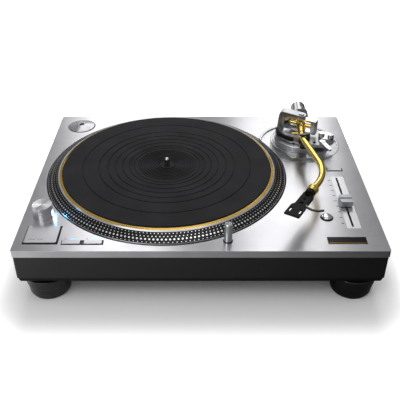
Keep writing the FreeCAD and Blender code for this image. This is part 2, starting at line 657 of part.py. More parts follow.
keep(seat(magnet, "platter_x", "platter_y", DECK), "rotor_magnet")

# Tonearm base: the dish set into the deck, the raised base with its flat
# front, the threaded collar and the guide tube of the lifting column.
BASE_EDGE = [("-18", "-53.7"), ("17", "-53.7"), ("22", "-51"), ("32", "-38.5"),
             ("32", "-10"), ("-30", "-10"), ("-35.5", "-25"), ("-24", "-39.4"), ("-22", "-48")]
dish = turned("dish", [
    ("column_radius + fit", PLATE), ("dish_radius", PLATE), ("dish_radius", "0.2"),
    ("dish_radius - dish_rim", "0.2"), ("dish_radius - dish_rim - 0.6", "-dish_depth"),
    ("column_radius + fit", "-dish_depth")])
raised = turned("raised", [
    ("column_radius + fit", "-dish_depth - 1"), ("base_radius", "-dish_depth - 1"),
    ("base_radius", "base_top - 1"), ("base_radius - 1", "base_top"),
    ("collar_radius", "base_top"), ("collar_radius", "ring_top - 0.4"),
    ("column_radius + fit", "ring_top - 0.4")])
guide = turned("guide", [
    ("column_radius + fit", "-34"), ("collar_radius - 0.3", "-34"),
    ("collar_radius - 0.3", PLATE + " + 1"), ("column_radius + fit", PLATE + " + 1")])
front = cut("front_block", prism("front_solid", BASE_EDGE, "-dish_depth - 1",
                                 "base_top + dish_depth + 1"),
            [cylinder("front_bore", "column_radius + fit", "-30", "30")])
arm_base = cut("arm_base_cut", fuse("arm_base_solid", [dish, raised, guide, front]),
               [cylinder("well_side", "well_radius", "-40", "-0.01 + 20",
                         "platter_x - arm_x", "platter_y - arm_y")])
keep(seat(arm_base, "arm_x", "arm_y", DECK), "arm_base")
ring = turned("ring_body", [
    ("collar_radius + fit", "base_top + 0.2"), ("ring_radius", "base_top + 0.2"),
    ("ring_radius", "ring_top - 0.8"), ("ring_radius - 0.8", "ring_top"),
    ("collar_radius + fit", "ring_top")])
keep(seat(ring, "arm_x", "arm_y", DECK), "height_ring")
lock_arc = turned("lock_ring", [
    ("ring_radius + 0.3", "base_top + 0.2"), ("ring_radius + 3", "base_top + 0.2"),
    ("ring_radius + 3", "base_top + 2.2"), ("ring_radius + 0.3", "base_top + 2.2")])
lock_grip = common("lock_grip", cut("lock_band", cylinder(
    "lock_outer", "52", "base_top + 0.2", "base_top + 3.7"), [
        cylinder("lock_inner", "ring_radius + 0.3", "0", "20")]), prism(
    "lock_sector", [(0, 0), ("70 * sin(23 * 1deg)", "-70 * cos(23 * 1deg)"),
                    ("70 * sin(50 * 1deg)", "-70 * cos(50 * 1deg)")], "0", "20"))
keep(seat(fuse("lock", [lock_arc, lock_grip]), "arm_x", "arm_y", DECK),
     "height_lock_lever")

# Carrier that rises with the height ring: column, wing and seats.
CARRIER = "(wing_top - wing_low)"
WING = [("8", "-27"), ("12", "-36"), ("31", "-40"), ("45", "-30"), ("50.5", "-20"),
        ("47", "-8"), ("30", "2"), ("12", "12"), ("-12", "12"), ("-20", "-4")]
carrier = [
    cylinder("column", "column_radius", "-30", "wing_top"),
    cylinder("carrier_disc", "collar_radius", "wing_low", "wing_top"),
    prism("wing", WING, "wing_low", "wing_top - wing_low"),
    cylinder("cue_seat", "5.5", "wing_low", "wing_top + 1.5", "-33.4", "-11"),
    box("cue_bridge", "-33", "-15", "wing_low", "14", "9", CARRIER),
    prism("bracket_seat", [("-bracket_reach - 9", "-8"), ("-12", "-8"), ("-12", "8"),
                           ("-bracket_reach - 9", "8")], "wing_low", CARRIER),
    cylinder("lower_bearing", "7", "wing_top", "arm_height - gimbal_height / 2 - 0.5"),
    box("rest_arm", "-5", "-48.5", "wing_low", "12", "20", CARRIER + " - 1")]
bind(carrier[5], "Placement.Rotation.Angle", "bracket_turn * 1deg")
carrier_cuts = [
    cylinder("column_bore", "13", "-40", "wing_low - 2"),
    cylinder("cue_bore", "2.2 + fit", "0", "30", "-33.4", "-11"),
    cylinder("lower_bore", "trunnion_radius + fit", "wing_top - 1", "30"),
    cylinder("skate_bore", "3 + fit", "0", "30", "37", "-18"),
    cylinder("cue_pin_bore", "2 + fit", "0", "30", "29", "-33"),
    box("rear_clearance", "-60", "15", "ring_top - 0.2", "120", "60", "30")]
keep(seat(cut("carrier", fuse("carrier_solid", carrier), carrier_cuts),
          "arm_x", "arm_y", DECK), "arm_body")
bracket = fuse("bracket_whole", [
    prism("bracket_frame", [
        ("-bracket_reach - 7.7", "wing_top"), ("-bracket_reach", "wing_top"),
        ("-bracket_reach", "bracket_low - 2.5"), ("-bracket_reach + 2.5", "bracket_low"),
        ("1", "bracket_low"), ("1", "bracket_low + 4"),
        ("-bracket_reach", "bracket_low + 6.3"), ("-bracket_reach - 4", "bracket_low + 4.6"),
        ("-bracket_reach - 5.4", "bracket_low + 1")], "0", "bracket_depth", "XZ_Plane"),
    cylinder("bracket_end", "bracket_depth / 2", "bracket_low", "bracket_low + 4"),
    cylinder("bracket_cap", "4", "bracket_low + 3", "bracket_low + 5.6")])
bracket = cut("bracket", bracket, [cylinder("upper_bore", "trunnion_radius + fit",
                                            "bracket_low - 1", "bracket_low + 3")])
keep(seat(bracket, "arm_x", "arm_y", DECK, "bracket_turn"), "gimbal_bracket")

# Gimbal ring: swings on two upright pins and carries two level bearings.
LOW = "(arm_height - gimbal_height / 2)"
HIGH = "(arm_height + gimbal_height / 2)"
gimbal = cut("gimbal_cut", centred_box("gimbal_block", 0, 0, LOW, "gimbal_length",
                                       "gimbal_depth", "gimbal_height"),
             [centred_box("gimbal_window", 0, 0, LOW + " + gimbal_wall",
                          "gimbal_length - 2 * gimbal_end", "gimbal_depth + 2",
                          "gimbal_height - 2 * gimbal_wall")])
gimbal = fuse("gimbal_whole", [
    gimbal, cylinder("upper_pin", "trunnion_radius", HIGH + " - 1", "bracket_low + 2.6"),
    cylinder("lower_pin", "trunnion_radius", "wing_top - 0.6", LOW + " + 1")])
level = doc.addObject("Part::Cylinder", "level_bore")
bind(level, "Radius", "pivot_radius + fit")
bind(level, "Height", "gimbal_length - 6")
level.Placement.Rotation = FreeCAD.Rotation(Vector(0, 1, 0), 90)
seat(level, "-(gimbal_length - 6) / 2", 0, "arm_height")
keep(seat(cut("gimbal", gimbal, [level]), "arm_x", "arm_y", DECK, "gimbal_turn"),
     "gimbal_ring")

# Tilting arm: block, tube, rear shaft, weights, collar and headshell.
HALF = "(gimbal_length - 2 * gimbal_end - 0.6) / 2"
nose = doc.addObject("Part::Cone", "block_nose")
bind(nose, "Radius1", "tube_radius + 2")
bind(nose, "Radius2", "tube_radius + 0.8")
bind(nose, "Height", "12")
aim = math.radians(value("front_turn"))
nose.Placement.Rotation = FreeCAD.Rotation(
    Vector(0, 0, 1), Vector(math.sin(aim), -math.cos(aim), 0))
seat(nose, "12 * sin(front_turn * 1deg)", "-12 * cos(front_turn * 1deg)", "arm_height")
block = [
    rod("block_front", "tube_radius + 2", "-3", "12", "front_turn", "arm_height"), nose,
    rod("block_sleeve", "tube_radius + 0.8", "24", "tube_start + 5", "front_turn",
        "arm_height"),
    rod("block_rear", "tube_radius + 2.4", "0", "9", "180 - rear_turn", "arm_height"),
    rod("block_stub", "3.2", "-(" + HALF + ")", HALF, "90 + gimbal_turn", "arm_height"),
    rod("block_pins", "pivot_radius", "-(" + HALF + ") - 3.5", HALF + " + 3.5",
        "90 + gimbal_turn", "arm_height"),
    rod("lift_pin", "1.75", "1", "16", "-90", "arm_height - 3.1")]
bind(block[-1], "Placement.Base.y", "-25")
bind(block[-1], "Placement.Base.x", "-1.5")
block = cut("block", fuse("block_solid", block), [
    rod("block_socket", "tube_radius", "tube_start", "tube_start + 6", "front_turn",
        "arm_height")])
keep(seat(block, "arm_x", "arm_y", DECK), "pivot_block")


def step(point, direction, length):
    turn = math.radians(direction)
    return point + Vector(math.sin(turn), -math.cos(turn), 0) * length


def bend(point, direction, turn, radius):
    """Arc that turns a run by an angle; gives the arc and its end."""
    side = 1 if turn > 0 else -1
    centre = step(point, direction + 90 * side, radius)
    middle = step(centre, direction + turn / 2 - 90 * side, radius)
    end = step(centre, direction + turn - 90 * side, radius)
    return Part.Arc(point, middle, end).toShape(), end


def pipe(path, radius):
    start = path.Edges[0]
    at = start.valueAt(start.FirstParameter)
    ring_edge = Part.makeCircle(radius, at, start.tangentAt(start.FirstParameter))
    return path.makePipeShell([Part.Wire([ring_edge])], True, False)


# The tube's centre line: three straight runs joined by two tangent arcs.
front_turn, middle_turn, head_turn = (value(w) for w in (
    "front_turn", "middle_turn", "head_turn"))
first_tangent = value("first_bend") * math.tan(math.radians((middle_turn - front_turn) / 2))
second_tangent = value("second_bend") * math.tan(math.radians((middle_turn - head_turn) / 2))
spot = step(Vector(0, 0, 0), front_turn, value("tube_start"))
edges, runs = [], (
    (front_turn, value("first_corner - tube_start") - first_tangent,
     middle_turn - front_turn, value("first_bend")),
    (middle_turn, value("middle_run") - first_tangent - second_tangent,
     head_turn - middle_turn, value("second_bend")),
    (head_turn, value("last_run") - second_tangent + 7, None, None))
for direction, length, turn, radius in runs:
    edges.append(Part.makeLine(spot, step(spot, direction, length)))
    spot = step(spot, direction, length)
    if turn:
        arc, spot = bend(spot, direction, turn, radius)
        edges.append(arc)
path = Part.Wire(edges)
wall = pipe(path, value("tube_radius")).cut(pipe(path, value("tube_radius - tube_wall")))
print("arm tube: length %.1f, volume %.1f, section x length %.1f" % (
    path.Length, wall.Volume, path.Length * math.pi * (
        value("tube_radius") ** 2 - value("tube_radius - tube_wall") ** 2)))
tube = doc.addObject("Part::Feature", "tube")
tube.Shape = wall
keep(seat(tube, "arm_x", "arm_y", DECK + " + arm_height"), "arm_tube")

# The socket's point, where the headshell's own axis begins.
SOCKET_X = ("(first_corner * sin(front_turn * 1deg) + middle_run * sin(middle_turn * 1deg)"
            " + last_run * sin(head_turn * 1deg))")
SOCKET_Y = ("(-first_corner * cos(front_turn * 1deg) - middle_run * cos(middle_turn * 1deg)"
            " - last_run * cos(head_turn * 1deg))")


def at_rear(thing):
    """Turn a piece drawn along +Y so that it follows the rear shaft."""
    return seat(thing, "arm_x", "arm_y", DECK + " + arm_height", "-rear_turn")


def at_head(thing):
    """Turn a piece drawn along -Y from the socket to the headshell's line."""
    return seat(thing, "arm_x + " + SOCKET_X, "arm_y + " + SOCKET_Y,
                DECK + " + arm_height", "head_turn")


def along(name, radius, start, end, way):
    """Level cylinder along +Y or -Y between two distances."""
    thing = doc.addObject("Part::Cylinder", name)
    bind(thing, "Radius", radius)
    bind(thing, "Height", "(%s) - (%s)" % (end, start))
    thing.Placement.Rotation = FreeCAD.Rotation(Vector(1, 0, 0), -90 * way)
    return seat(thing, 0, "(%s) * %d" % (start, way), 0)


keep(at_rear(fuse("rear", [along("rear_rod", "rear_radius", "9", "58", 1),
                           along("rear_stop", "rear_radius + 0.8", "9", "13", 1)])),
     "rear_shaft")
weight = cut("weight", fuse("weight_solid", [
    along("weight_body", "weight_radius", "34", "55", 1),
    along("weight_edge", "weight_radius - 0.6", "32.4", "56", 1)]),
    [along("weight_bore", "rear_radius + fit", "0", "80", 1)])
keep(at_rear(weight), "counterweight")
dial = cut("dial", fuse("dial_solid", [
    along("dial_body", "dial_radius", "24", "32", 1),
    along("dial_edge", "dial_radius - 1.2", "22.5", "32", 1)]),
    [along("dial_bore", "rear_radius + 0.3", "0", "80", 1)])
keep(at_rear(dial), "force_dial")
collar = cut("collar", fuse("collar_solid", [
    along("collar_body", "tube_radius + 2.2", "2", "12.5", -1),
    along("collar_band", "tube_radius + 2.9", "4", "9.5", -1)]),
    [along("collar_bore", "tube_radius + fit", "-5", "40", -1)])
keep(at_head(collar), "lock_collar")
shell_plate = [("-9.8", "-72"), ("9.8", "-72"), ("9.8", "-51"), ("6.9", "-46"),
               ("-6.9", "-46"), ("-9.8", "-51")]
head = fuse("head_solid", [
    along("head_plug", "tube_radius - fit", "7.2", "20", -1),
    along("head_seat", "6.3", "13", "20", -1),
    centred_box("head_back", "0", "-33", "-5.5", "13.8", "28", "7.3"),
    prism("head_plate", shell_plate, "-0.7", "2.5")])
head_cuts = [cylinder("hole_front", "3", "-1", "9", 0, "-24"),
             cylinder("hole_middle", "2", "-1", "9", 0, "-33"),
             cylinder("hole_rear", "2.6", "-1", "9", 0, "-42.5"),
             centred_box("head_under", "0", "-37", "-9", "10.6", "18", "7.5")]
for side, text in ((-1, "left"), (1, "right")):
    head_cuts.append(centred_box("slot_" + text, 6.35 * side, "-61", "-6", "2.6", "9", "12"))
keep(at_head(cut("head", head, head_cuts)), "headshell")
LIFTER = [("8.64", "-49"), ("10", "-49.5"), ("17", "-51"), ("25", "-49"), ("30.5", "-44"),
          ("29", "-42.6"), ("24", "-46.8"), ("17", "-48.7"), ("11", "-47.2"), ("8", "-44"),
          ("6.9", "-43"), ("6.9", "-46")]
keep(at_head(prism("lifter", LIFTER, "0", "2.6")), "finger_lift")

# Arm rest, its clip, the cueing lift and the anti-skate dial.
rest = fuse("rest_whole", [
    box("rest_foot", "-4.2", "-47.8", "wing_low + 3.2", "12", "10", "2.2"),
    cylinder("rest_post", "3", "wing_low + 3.2", "arm_height - tube_radius - 2", "-2.5",
             "-44.8"),
    box("rest_seat", "-8.5", "-47.5", "arm_height - tube_radius - 3", "15.5", "5.4", "2.7"),
    box("rest_side", "2.2", "-47.5", "arm_height - tube_radius - 3", "4.8", "5.4",
        "2 * tube_radius + 3.2")])
keep(seat(rest, "arm_x", "arm_y", DECK), "arm_rest")
clip_barrel = doc.addObject("Part::Cylinder", "clip_barrel")
bind(clip_barrel, "Radius", "1.6")
bind(clip_barrel, "Height", "5")
clip_barrel.Placement.Rotation = FreeCAD.Rotation(Vector(1, 0, 0), -90)
seat(clip_barrel, "5.4", "-47.3", "arm_height + tube_radius + 2.1")
clip = fuse("clip_whole", [
    box("clip_band", "-8.6", "-47.3", "arm_height + tube_radius + 0.5", "13", "5", "2"),
    box("clip_root", "1.6", "-47.3", "arm_height + tube_radius + 0.5", "3.8", "5", "3.2"),
    clip_barrel])
keep(seat(clip, "arm_x", "arm_y", DECK), "arm_clamp")
arc = common("arc_cut", cut("arc_band", cylinder("arc_outer", "36.6", "20", "25.6"),
                            [cylinder("arc_inner", "33.3", "0", "40")]),
             prism("arc_sector", [(0, 0), ("-60 * sin(24 * 1deg)", "-60 * cos(24 * 1deg)"),
                                  ("-60 * sin(58 * 1deg)", "-60 * cos(58 * 1deg)"),
                                  ("-60 * sin(92 * 1deg)", "-60 * cos(92 * 1deg)")],
                   "0", "40"))
keep(seat(fuse("lift", [arc, cylinder("lift_post", "2.2", "wing_low + 0.2", "21",
                                      "-33.4", "-11")]), "arm_x", "arm_y", DECK),
     "lift_bar")
cue = fuse("cue_whole", [
    cylinder("cue_boss", "4.4", "wing_top + 0.2", "wing_top + 4"),
    cylinder("cue_pin", "2", "wing_low + 0.4", "wing_top + 1"),
    prism("cue_blade", [("-3.2", "0"), ("-3.4", "-20"), ("-2.2", "-24.6"), ("0", "-26"),
                        ("2.2", "-24.6"), ("3.4", "-20"), ("3.2", "0")],
          "wing_top + 0.9", "2.6")])
keep(seat(cue, "arm_x + 29", "arm_y - 33", DECK, "18"), "cue_lever")
skate = [cylinder("skate_disc", "11.5", "wing_top + 0.2", "wing_top + 5"),
         cylinder("skate_pin", "3", "wing_low + 0.4", "wing_top + 1")]
for number, (x, y) in enumerate(((-6.4, 3), (6, -2.6))):
    skate.append(cylinder("skate_lobe_%d" % number, "4.6", "wing_top + 4",
                          "wing_top + 8.4", x, y))
keep(seat(fuse("skate", skate), "arm_x + 37", "arm_y - 18", DECK), "anti_skate_dial")

# Controls on the deck.
start = prism("start_cap", rectangle("start_length", "start_width"), "-4", "5.8",
              rounding="1.2")
keep(seat(fuse("start", [start, centred_box("start_stem", 0, 0, "-8",
                                            "start_length - 8", "start_width - 8", "4.5")]),
          "start_x", "start_y", DECK), "start_button")
for side, node in (("-", "speed_33_button"), ("+", "speed_45_button")):
    button = fuse(node + "_whole", [
        centred_box(node + "_cap", 0, 0, "-4", "speed_length", "speed_width", "5"),
        centred_box(node + "_stem", 0, 0, "-12", "speed_length - 6.8",
                    "speed_width - 3.9", "8.5")])
    keep(seat(button, "speed_x " + side + " speed_pitch / 2", "speed_y", DECK), node)
knob = turned("knob_body", [
    (0, "knob_low"), ("knob_radius", "knob_low"), ("knob_radius", "knob_top - 0.5"),
    ("knob_radius - 0.5", "knob_top"), ("knob_radius - 2", "knob_top - 0.4"),
    (0, "knob_top - 0.9")])
knob = fuse("knob", [knob, cylinder("knob_shaft", "3", "-8", "knob_low + 1")])
keep(seat(knob, "knob_x", "knob_y", DECK), "power_knob")
dome = turned("reset_dome", [
    (0, "-9"), ("reset_radius", "-9"), ("reset_radius", "1.6"),
    ("reset_radius - 0.9", "2.5"), ("reset_radius - 3", "3"), (0, "3.1")])
keep(seat(dome, "reset_x", "reset_y", DECK), "reset_button")
bar = fuse("range_whole", [
    centred_box("range_cap", 0, 0, "-4", "range_length", "range_width", "5"),
    centred_box("range_stem", 0, 0, "-12", "range_length - 6.4", "range_width - 3.3",
                "8.5")])
keep(seat(bar, "range_x", "range_y", DECK), "range_button")
FADER = [("-8", "-9"), ("8", "-9"), ("8", "9"), ("-8", "9")]
grip = cut("grip", prism("grip_block", FADER, "0.6", "7.9", rounding="1"),
           [box("grip_groove", "-10", "-1.6", "6.6", "20", "3.2", "5")])
slider = fuse("slider", [
    grip, centred_box("slider_stem", 0, 0, "-20", "1.9", "9", "21")])
keep(seat(slider, "fader_x - 1.4", "fader_y + fader_set", DECK), "fader_knob")
pop = turned("pop_body", [
    (0, "-4"), ("pop_radius", "-4"), ("pop_radius", "pop_top - 1"),
    ("pop_radius - 1", "pop_top"), (0, "pop_top")])
pop = cut("pop", pop, [box("pop_window", "-10", "-1.4", "pop_top - 6", "6.6", "2.8", "3.4")])
keep(seat(pop, "pop_x", "pop_y", DECK), "pop_up_light")
adaptor = turned("adaptor_body", [
    ("pin_radius + 0.1", "-6.9"), ("adaptor_radius - 1.5", "-6.9"),
    ("adaptor_radius - 1.5", "-1"), ("adaptor_radius", "0.2"),
    ("adaptor_radius - 0.6", "1"), ("pin_radius + 1", "3.8"), ("pin_radius + 0.1", "3.2")])
keep(seat(adaptor, "adaptor_x", "adaptor_y", DECK), "adaptor")

# Feet: a glossy housing on a rubber pad, turned on a threaded stud.
for x, y, corner in CORNERS:
    foot = turned("foot_body_" + corner, [
        (0, 0), ("foot_radius - 4.5", 0), ("foot_radius - 2.8", "3"),
        ("foot_radius - 1.6", "12"), ("foot_radius - 1.6", "17.5"), ("foot_radius", "18.2"),
        ("foot_radius", "foot_height - 1.5"), ("foot_radius - 1", "foot_height - 0.3"),
        ("stud_radius + fit", "foot_height - 0.3"), ("stud_radius + fit", "foot_height - 9"),
        (0, "foot_height - 9")])
    place = ("foot_x * %d" % x, "foot_y * %d" % -y)
    keep(seat(foot, *place, 0), "foot_" + corner)
    stud = turned("stud_body_" + corner, [
        (0, "foot_height - 8.8"), ("stud_radius", "foot_height - 8.8"),
        ("stud_radius", "foot_height + base_height + 10"),
        ("stud_radius - 1", "foot_height + base_height + 11"),
        (0, "foot_height + base_height + 11")])
    keep(seat(stud, *place, 0), "foot_stud_" + corner)

doc.recompute()
for thing in doc.Objects:
    if "Invalid" in thing.State or "Error" in thing.State:
        raise RuntimeError("%s did not build: %s" % (thing.Name, thing.State))
labels = [piece.Label for piece in pieces]
if len(set(labels)) != len(labels) or len(labels) > 60:
    raise RuntimeError("each piece needs a name of its own, at most 60")
for piece in pieces:
    if piece.Shape.isNull() or not piece.Shape.isValid() or not piece.Shape.Solids:
        raise RuntimeError("%s has no valid solid" % piece.Label)
os.makedirs("parts", exist_ok=True)
for piece in pieces:
    piece.Shape.exportStep("parts/%s.step" % piece.Label)
print("%d pieces" % len(pieces))
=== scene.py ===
"""Record turntable with a dotted strobe platter and a gold S-shaped tonearm.

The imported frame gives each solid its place. This script dresses them: it
models the pieces that need finer shapes, gives each one its finish and sets
up a plain studio. Lengths named *_mm are in millimetres, measured from the
middle of the deck, with heights above the deck's top.
"""
import json
import logging
import math
from dataclasses import dataclass, replace
from enum import Enum
from typing import Any, Dict, Optional, Sequence, Tuple

import bpy
from mathutils import Matrix, Vector


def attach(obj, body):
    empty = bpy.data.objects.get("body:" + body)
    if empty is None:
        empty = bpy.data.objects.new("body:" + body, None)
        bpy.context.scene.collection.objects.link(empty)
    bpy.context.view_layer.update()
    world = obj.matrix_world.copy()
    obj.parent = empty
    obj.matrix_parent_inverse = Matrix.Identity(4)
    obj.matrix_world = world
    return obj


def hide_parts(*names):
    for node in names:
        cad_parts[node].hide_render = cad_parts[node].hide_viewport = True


Point = Tuple[float, float, float]
Profile = Sequence[Tuple[float, float]]

log = logging.getLogger("turntable")

# A millimetre in metres.
MM = 0.001
# Height of the deck's top above the table, then the upright axes of the platter
# and of the arm's pillar, and the height of the arm above the deck.
DECK_MM = 81.0
SPINDLE_MM = (-47.1, 3.5)
PIVOT_MM = (151.3, 87.7)
ARM_AXIS_MM = 32.2

# Vertices nearer than this are one: in drawn outlines, and in the CAD solids.
DRAWN_MERGE_M = 2e-6
SOLID_MERGE_M = 4e-6
# Faces of a CAD solid that bend less than this are one flat face.
FLAT_DEGREES = 0.6
# A font's size over the height of its capitals.
FONT_PER_CAPITAL = 1.4
# Thickness of printed letters.
INK_MM = 0.02
# Soft patches of colour, about 45 mm from one to the next, and the stretch of their
# noise in which the first colour turns into the second.
PATCHES_PER_METRE = 22.0
PATCH_EDGES = (0.35, 0.65)
# Coordinates along a brushed line are scaled by this, which makes its marks long.
LINE_SCALE = 0.012
COAT_ROUGHNESS = 0.06
# No surface is smoother than this.
LEAST_ROUGHNESS = 0.02
# Depth of a finish's marks over their spacing, at full relief.
MARK_DEPTH = 0.5

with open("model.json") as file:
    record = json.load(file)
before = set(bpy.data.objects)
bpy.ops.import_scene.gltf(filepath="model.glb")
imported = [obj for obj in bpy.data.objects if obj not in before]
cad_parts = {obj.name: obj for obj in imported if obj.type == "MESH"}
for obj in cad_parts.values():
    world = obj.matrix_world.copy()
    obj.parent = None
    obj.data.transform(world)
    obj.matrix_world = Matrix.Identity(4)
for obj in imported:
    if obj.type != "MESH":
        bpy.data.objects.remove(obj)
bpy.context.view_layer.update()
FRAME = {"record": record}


# Colours, nodes and finishes.
def linear(colour: str) -> Tuple[float, float, float, float]:
    """Turn an sRGB hex colour into the linear values that shaders take.

    Args:
        colour: Six hex digits, with or without a leading #.

    Returns:
        Linear red, green, blue and an alpha of 1.
    """
    digits = colour.lstrip("#")
    channels = [int(digits[i:i + 2], 16) / 255 for i in (0, 2, 4)]
    return (*[c / 12.92 if c <= 0.04045 else ((c + 0.055) / 1.055) ** 2.4
              for c in channels], 1.0)


def add(tree: bpy.types.NodeTree, kind: str, inputs: Optional[Dict[Any, Any]] = None,
        **settings: Any) -> bpy.types.Node:
    """Add a node with its settings, and link or set its inputs.

    Args:
        tree: The node tree that gets the node.
        kind: The node's type name.
        inputs: Socket name or number to a value, or to a socket to link from.
        **settings: Properties of the node itself.

    Returns:
        The new node.
    """
    node = tree.nodes.new(kind)
    for name, setting in settings.items():
        setattr(node, name, setting)
    for socket, given in (inputs or {}).items():
        if isinstance(given, bpy.types.NodeSocket):
            tree.links.new(given, node.inputs[socket])
        else:
            node.inputs[socket].default_value = given
    return node


class Grain(Enum):
    """How a finish's fine surface was made."""

    HAIRLINE_X = "hairline along X"
    HAIRLINE_Y = "hairline along Y"
    TURNED = "turned about an upright axis"
    BLASTED = "fine random grain"


@dataclass(frozen=True)
class Finish:
    """One real surface: its colour, gloss and fine grain.

    Attributes:
        name: The material's name.
        colour: sRGB hex of the surface.
        metallic: 1 for bare metal, 0 for plastic, rubber or paint.
        roughness: Mean roughness.
        grain: The direction or kind of the fine grain.
        grain_mm: Spacing of the grain's marks.
        relief: Strength of the grain's bump, from 0 to 1.
        spread: How far the grain changes the roughness.
        tint: How far the grain changes the colour's brightness.
        centre_mm: Axis that a turned grain circles.
        coat: Clear coat weight.
        shine: Specular level of plastic, rubber or paint; metals keep the default.
        stretch: How far a highlight is drawn out across the grain's lines.
        glow: Emission strength in the surface's own colour.
        second: A second colour mixed in by broad soft patches, or empty.
    """

    name: str
    colour: str
    metallic: float = 0.0
    roughness: float = 0.4
    grain: Grain = Grain.BLASTED
    grain_mm: float = 0.3
    relief: float = 0.05
    spread: float = 0.05
    tint: float = 0.04
    centre_mm: Tuple[float, float] = (0.0, 0.0)
    coat: float = 0.0
    shine: float = 0.5
    stretch: float = 0.0
    glow: float = 0.0
    second: str = ""

    def build(self) -> bpy.types.Material:
        """Make the material, or give the one made before.

        Returns:
            The Blender material.
        """
        known = bpy.data.materials.get(self.name)
        if known:
            return known
        material = bpy.data.materials.new(self.name)
        material.use_nodes = True
        tree = material.node_tree
        tree.nodes.clear()
        marks = self._marks(tree)
        patches = add(tree, "ShaderNodeTexNoise", {
            "Vector": self._place(tree), "Scale": PATCHES_PER_METRE, "Detail": 2.0}).outputs["Fac"]
        base = linear(self.colour)
        other = linear(self.second) if self.second else tuple(
            min(1.0, c * (1 + 2 * self.tint)) for c in base[:3]) + (1.0,)
        broad = add(tree, "ShaderNodeMapRange", {
            "Value": patches, "From Min": PATCH_EDGES[0],
            "From Max": PATCH_EDGES[1]}).outputs["Result"]
        tinted = add(tree, "ShaderNodeMix", {
            "Factor": broad, 6: base, 7: other}, data_type="RGBA").outputs[2]
        dark = add(tree, "ShaderNodeMapRange", {
            "Value": marks, "To Min": 1 - self.tint, "To Max": 1 + self.tint}
            ).outputs["Result"]
        shaded = add(tree, "ShaderNodeMix", {
            "Factor": 1.0, 6: tinted, 7: dark}, data_type="RGBA",
            blend_type="MULTIPLY").outputs[2]
        rough = add(tree, "ShaderNodeMapRange", {
            "Value": marks, "To Min": max(LEAST_ROUGHNESS, self.roughness - self.spread),
            "To Max": min(1.0, self.roughness + self.spread)}).outputs["Result"]
        bump = add(tree, "ShaderNodeBump", {
            "Height": marks, "Strength": self.relief,
            "Distance": self.grain_mm * MM * MARK_DEPTH}).outputs["Normal"]
        shader = add(tree, "ShaderNodeBsdfPrincipled", {
            "Base Color": shaded, "Metallic": self.metallic, "Roughness": rough,
            "Normal": bump, "Coat Weight": self.coat, "Coat Roughness": COAT_ROUGHNESS,
            "Specular IOR Level": self.shine, "Anisotropic": self.stretch})
        if self.stretch:
            tree.links.new(self._across(tree), shader.inputs["Tangent"])
        if self.glow:
            shader.inputs["Emission Color"].default_value = base
            shader.inputs["Emission Strength"].default_value = self.glow
        add(tree, "ShaderNodeOutputMaterial", {"Surface": shader.outputs["BSDF"]})
        material.diffuse_color = base
        return material

    def _place(self, tree: bpy.types.NodeTree) -> bpy.types.NodeSocket:
        """Object coordinates, in metres in the deck's own frame."""
        return add(tree, "ShaderNodeTexCoord").outputs["Object"]

    def _from_axis(self, tree: bpy.types.NodeTree) -> bpy.types.NodeSocket:
        """Measure places from the axis that a turned grain circles.

        Args:
            tree: The material's node tree.

        Returns:
            The socket with the place.
        """
        return add(tree, "ShaderNodeVectorMath", {
            0: self._place(tree), 1: (self.centre_mm[0] * MM, self.centre_mm[1] * MM, 0.0)},
            operation="SUBTRACT").outputs["Vector"]

    def _across(self, tree: bpy.types.NodeTree) -> bpy.types.NodeSocket:
        """Direction in the surface across the grain's lines, for the highlight.

        Args:
            tree: The material's node tree.

        Returns:
            The socket with the direction.
        """
        if self.grain is Grain.TURNED:
            lines = add(tree, "ShaderNodeVectorMath", {
                0: (0.0, 0.0, 1.0), 1: self._from_axis(tree)},
                operation="CROSS_PRODUCT").outputs["Vector"]
        else:
            along = (0.0, 1.0, 0.0) if self.grain is Grain.HAIRLINE_Y else (1.0, 0.0, 0.0)
            lines = add(tree, "ShaderNodeCombineXYZ", {
                "X": along[0], "Y": along[1], "Z": along[2]}).outputs["Vector"]
        facing = add(tree, "ShaderNodeTexCoord").outputs["Normal"]
        across = add(tree, "ShaderNodeVectorMath", {0: facing, 1: lines},
                     operation="CROSS_PRODUCT").outputs["Vector"]
        return add(tree, "ShaderNodeVectorTransform", {"Vector": across},
                   vector_type="VECTOR", convert_from="OBJECT",
                   convert_to="WORLD").outputs["Vector"]

    def _marks(self, tree: bpy.types.NodeTree) -> bpy.types.NodeSocket:
        """Fine marks of the grain, from 0 to 1.

        Args:
            tree: The material's node tree.

        Returns:
            The socket with the pattern.
        """
        per_metre = 1 / (self.grain_mm * MM)
        if self.grain is Grain.TURNED:
            shifted = self._from_axis(tree)
            flat = add(tree, "ShaderNodeVectorMath", {
                0: shifted, 1: (1.0, 1.0, 0.0)}, operation="MULTIPLY").outputs["Vector"]
            radius = add(tree, "ShaderNodeVectorMath", {0: flat},
                         operation="LENGTH").outputs["Value"]
            apart = add(tree, "ShaderNodeSeparateXYZ", {"Vector": shifted})
            line = add(tree, "ShaderNodeCombineXYZ", {
                "X": radius, "Y": apart.outputs["Z"]}).outputs["Vector"]
            return add(tree, "ShaderNodeTexNoise", {
                "Vector": line, "Scale": per_metre, "Detail": 3.0,
                "Roughness": 0.6}).outputs["Fac"]
        scale = {Grain.HAIRLINE_X: (LINE_SCALE, 1.0, 1.0),
                 Grain.HAIRLINE_Y: (1.0, LINE_SCALE, 1.0)}.get(self.grain, (1.0, 1.0, 1.0))
        scaled = add(tree, "ShaderNodeMapping", {
            "Vector": self._place(tree), "Scale": scale}).outputs["Vector"]
        return add(tree, "ShaderNodeTexNoise", {
            "Vector": scaled, "Scale": per_metre, "Detail": 4.0,
            "Roughness": 0.62}).outputs["Fac"]


# Making shapes.
def select_none() -> None:
    """Leave nothing selected, so that an operator acts on one piece only."""
    if bpy.context.mode != "OBJECT":
        bpy.ops.object.mode_set(mode="OBJECT")
    for thing in list(bpy.context.selected_objects):
        thing.select_set(False)


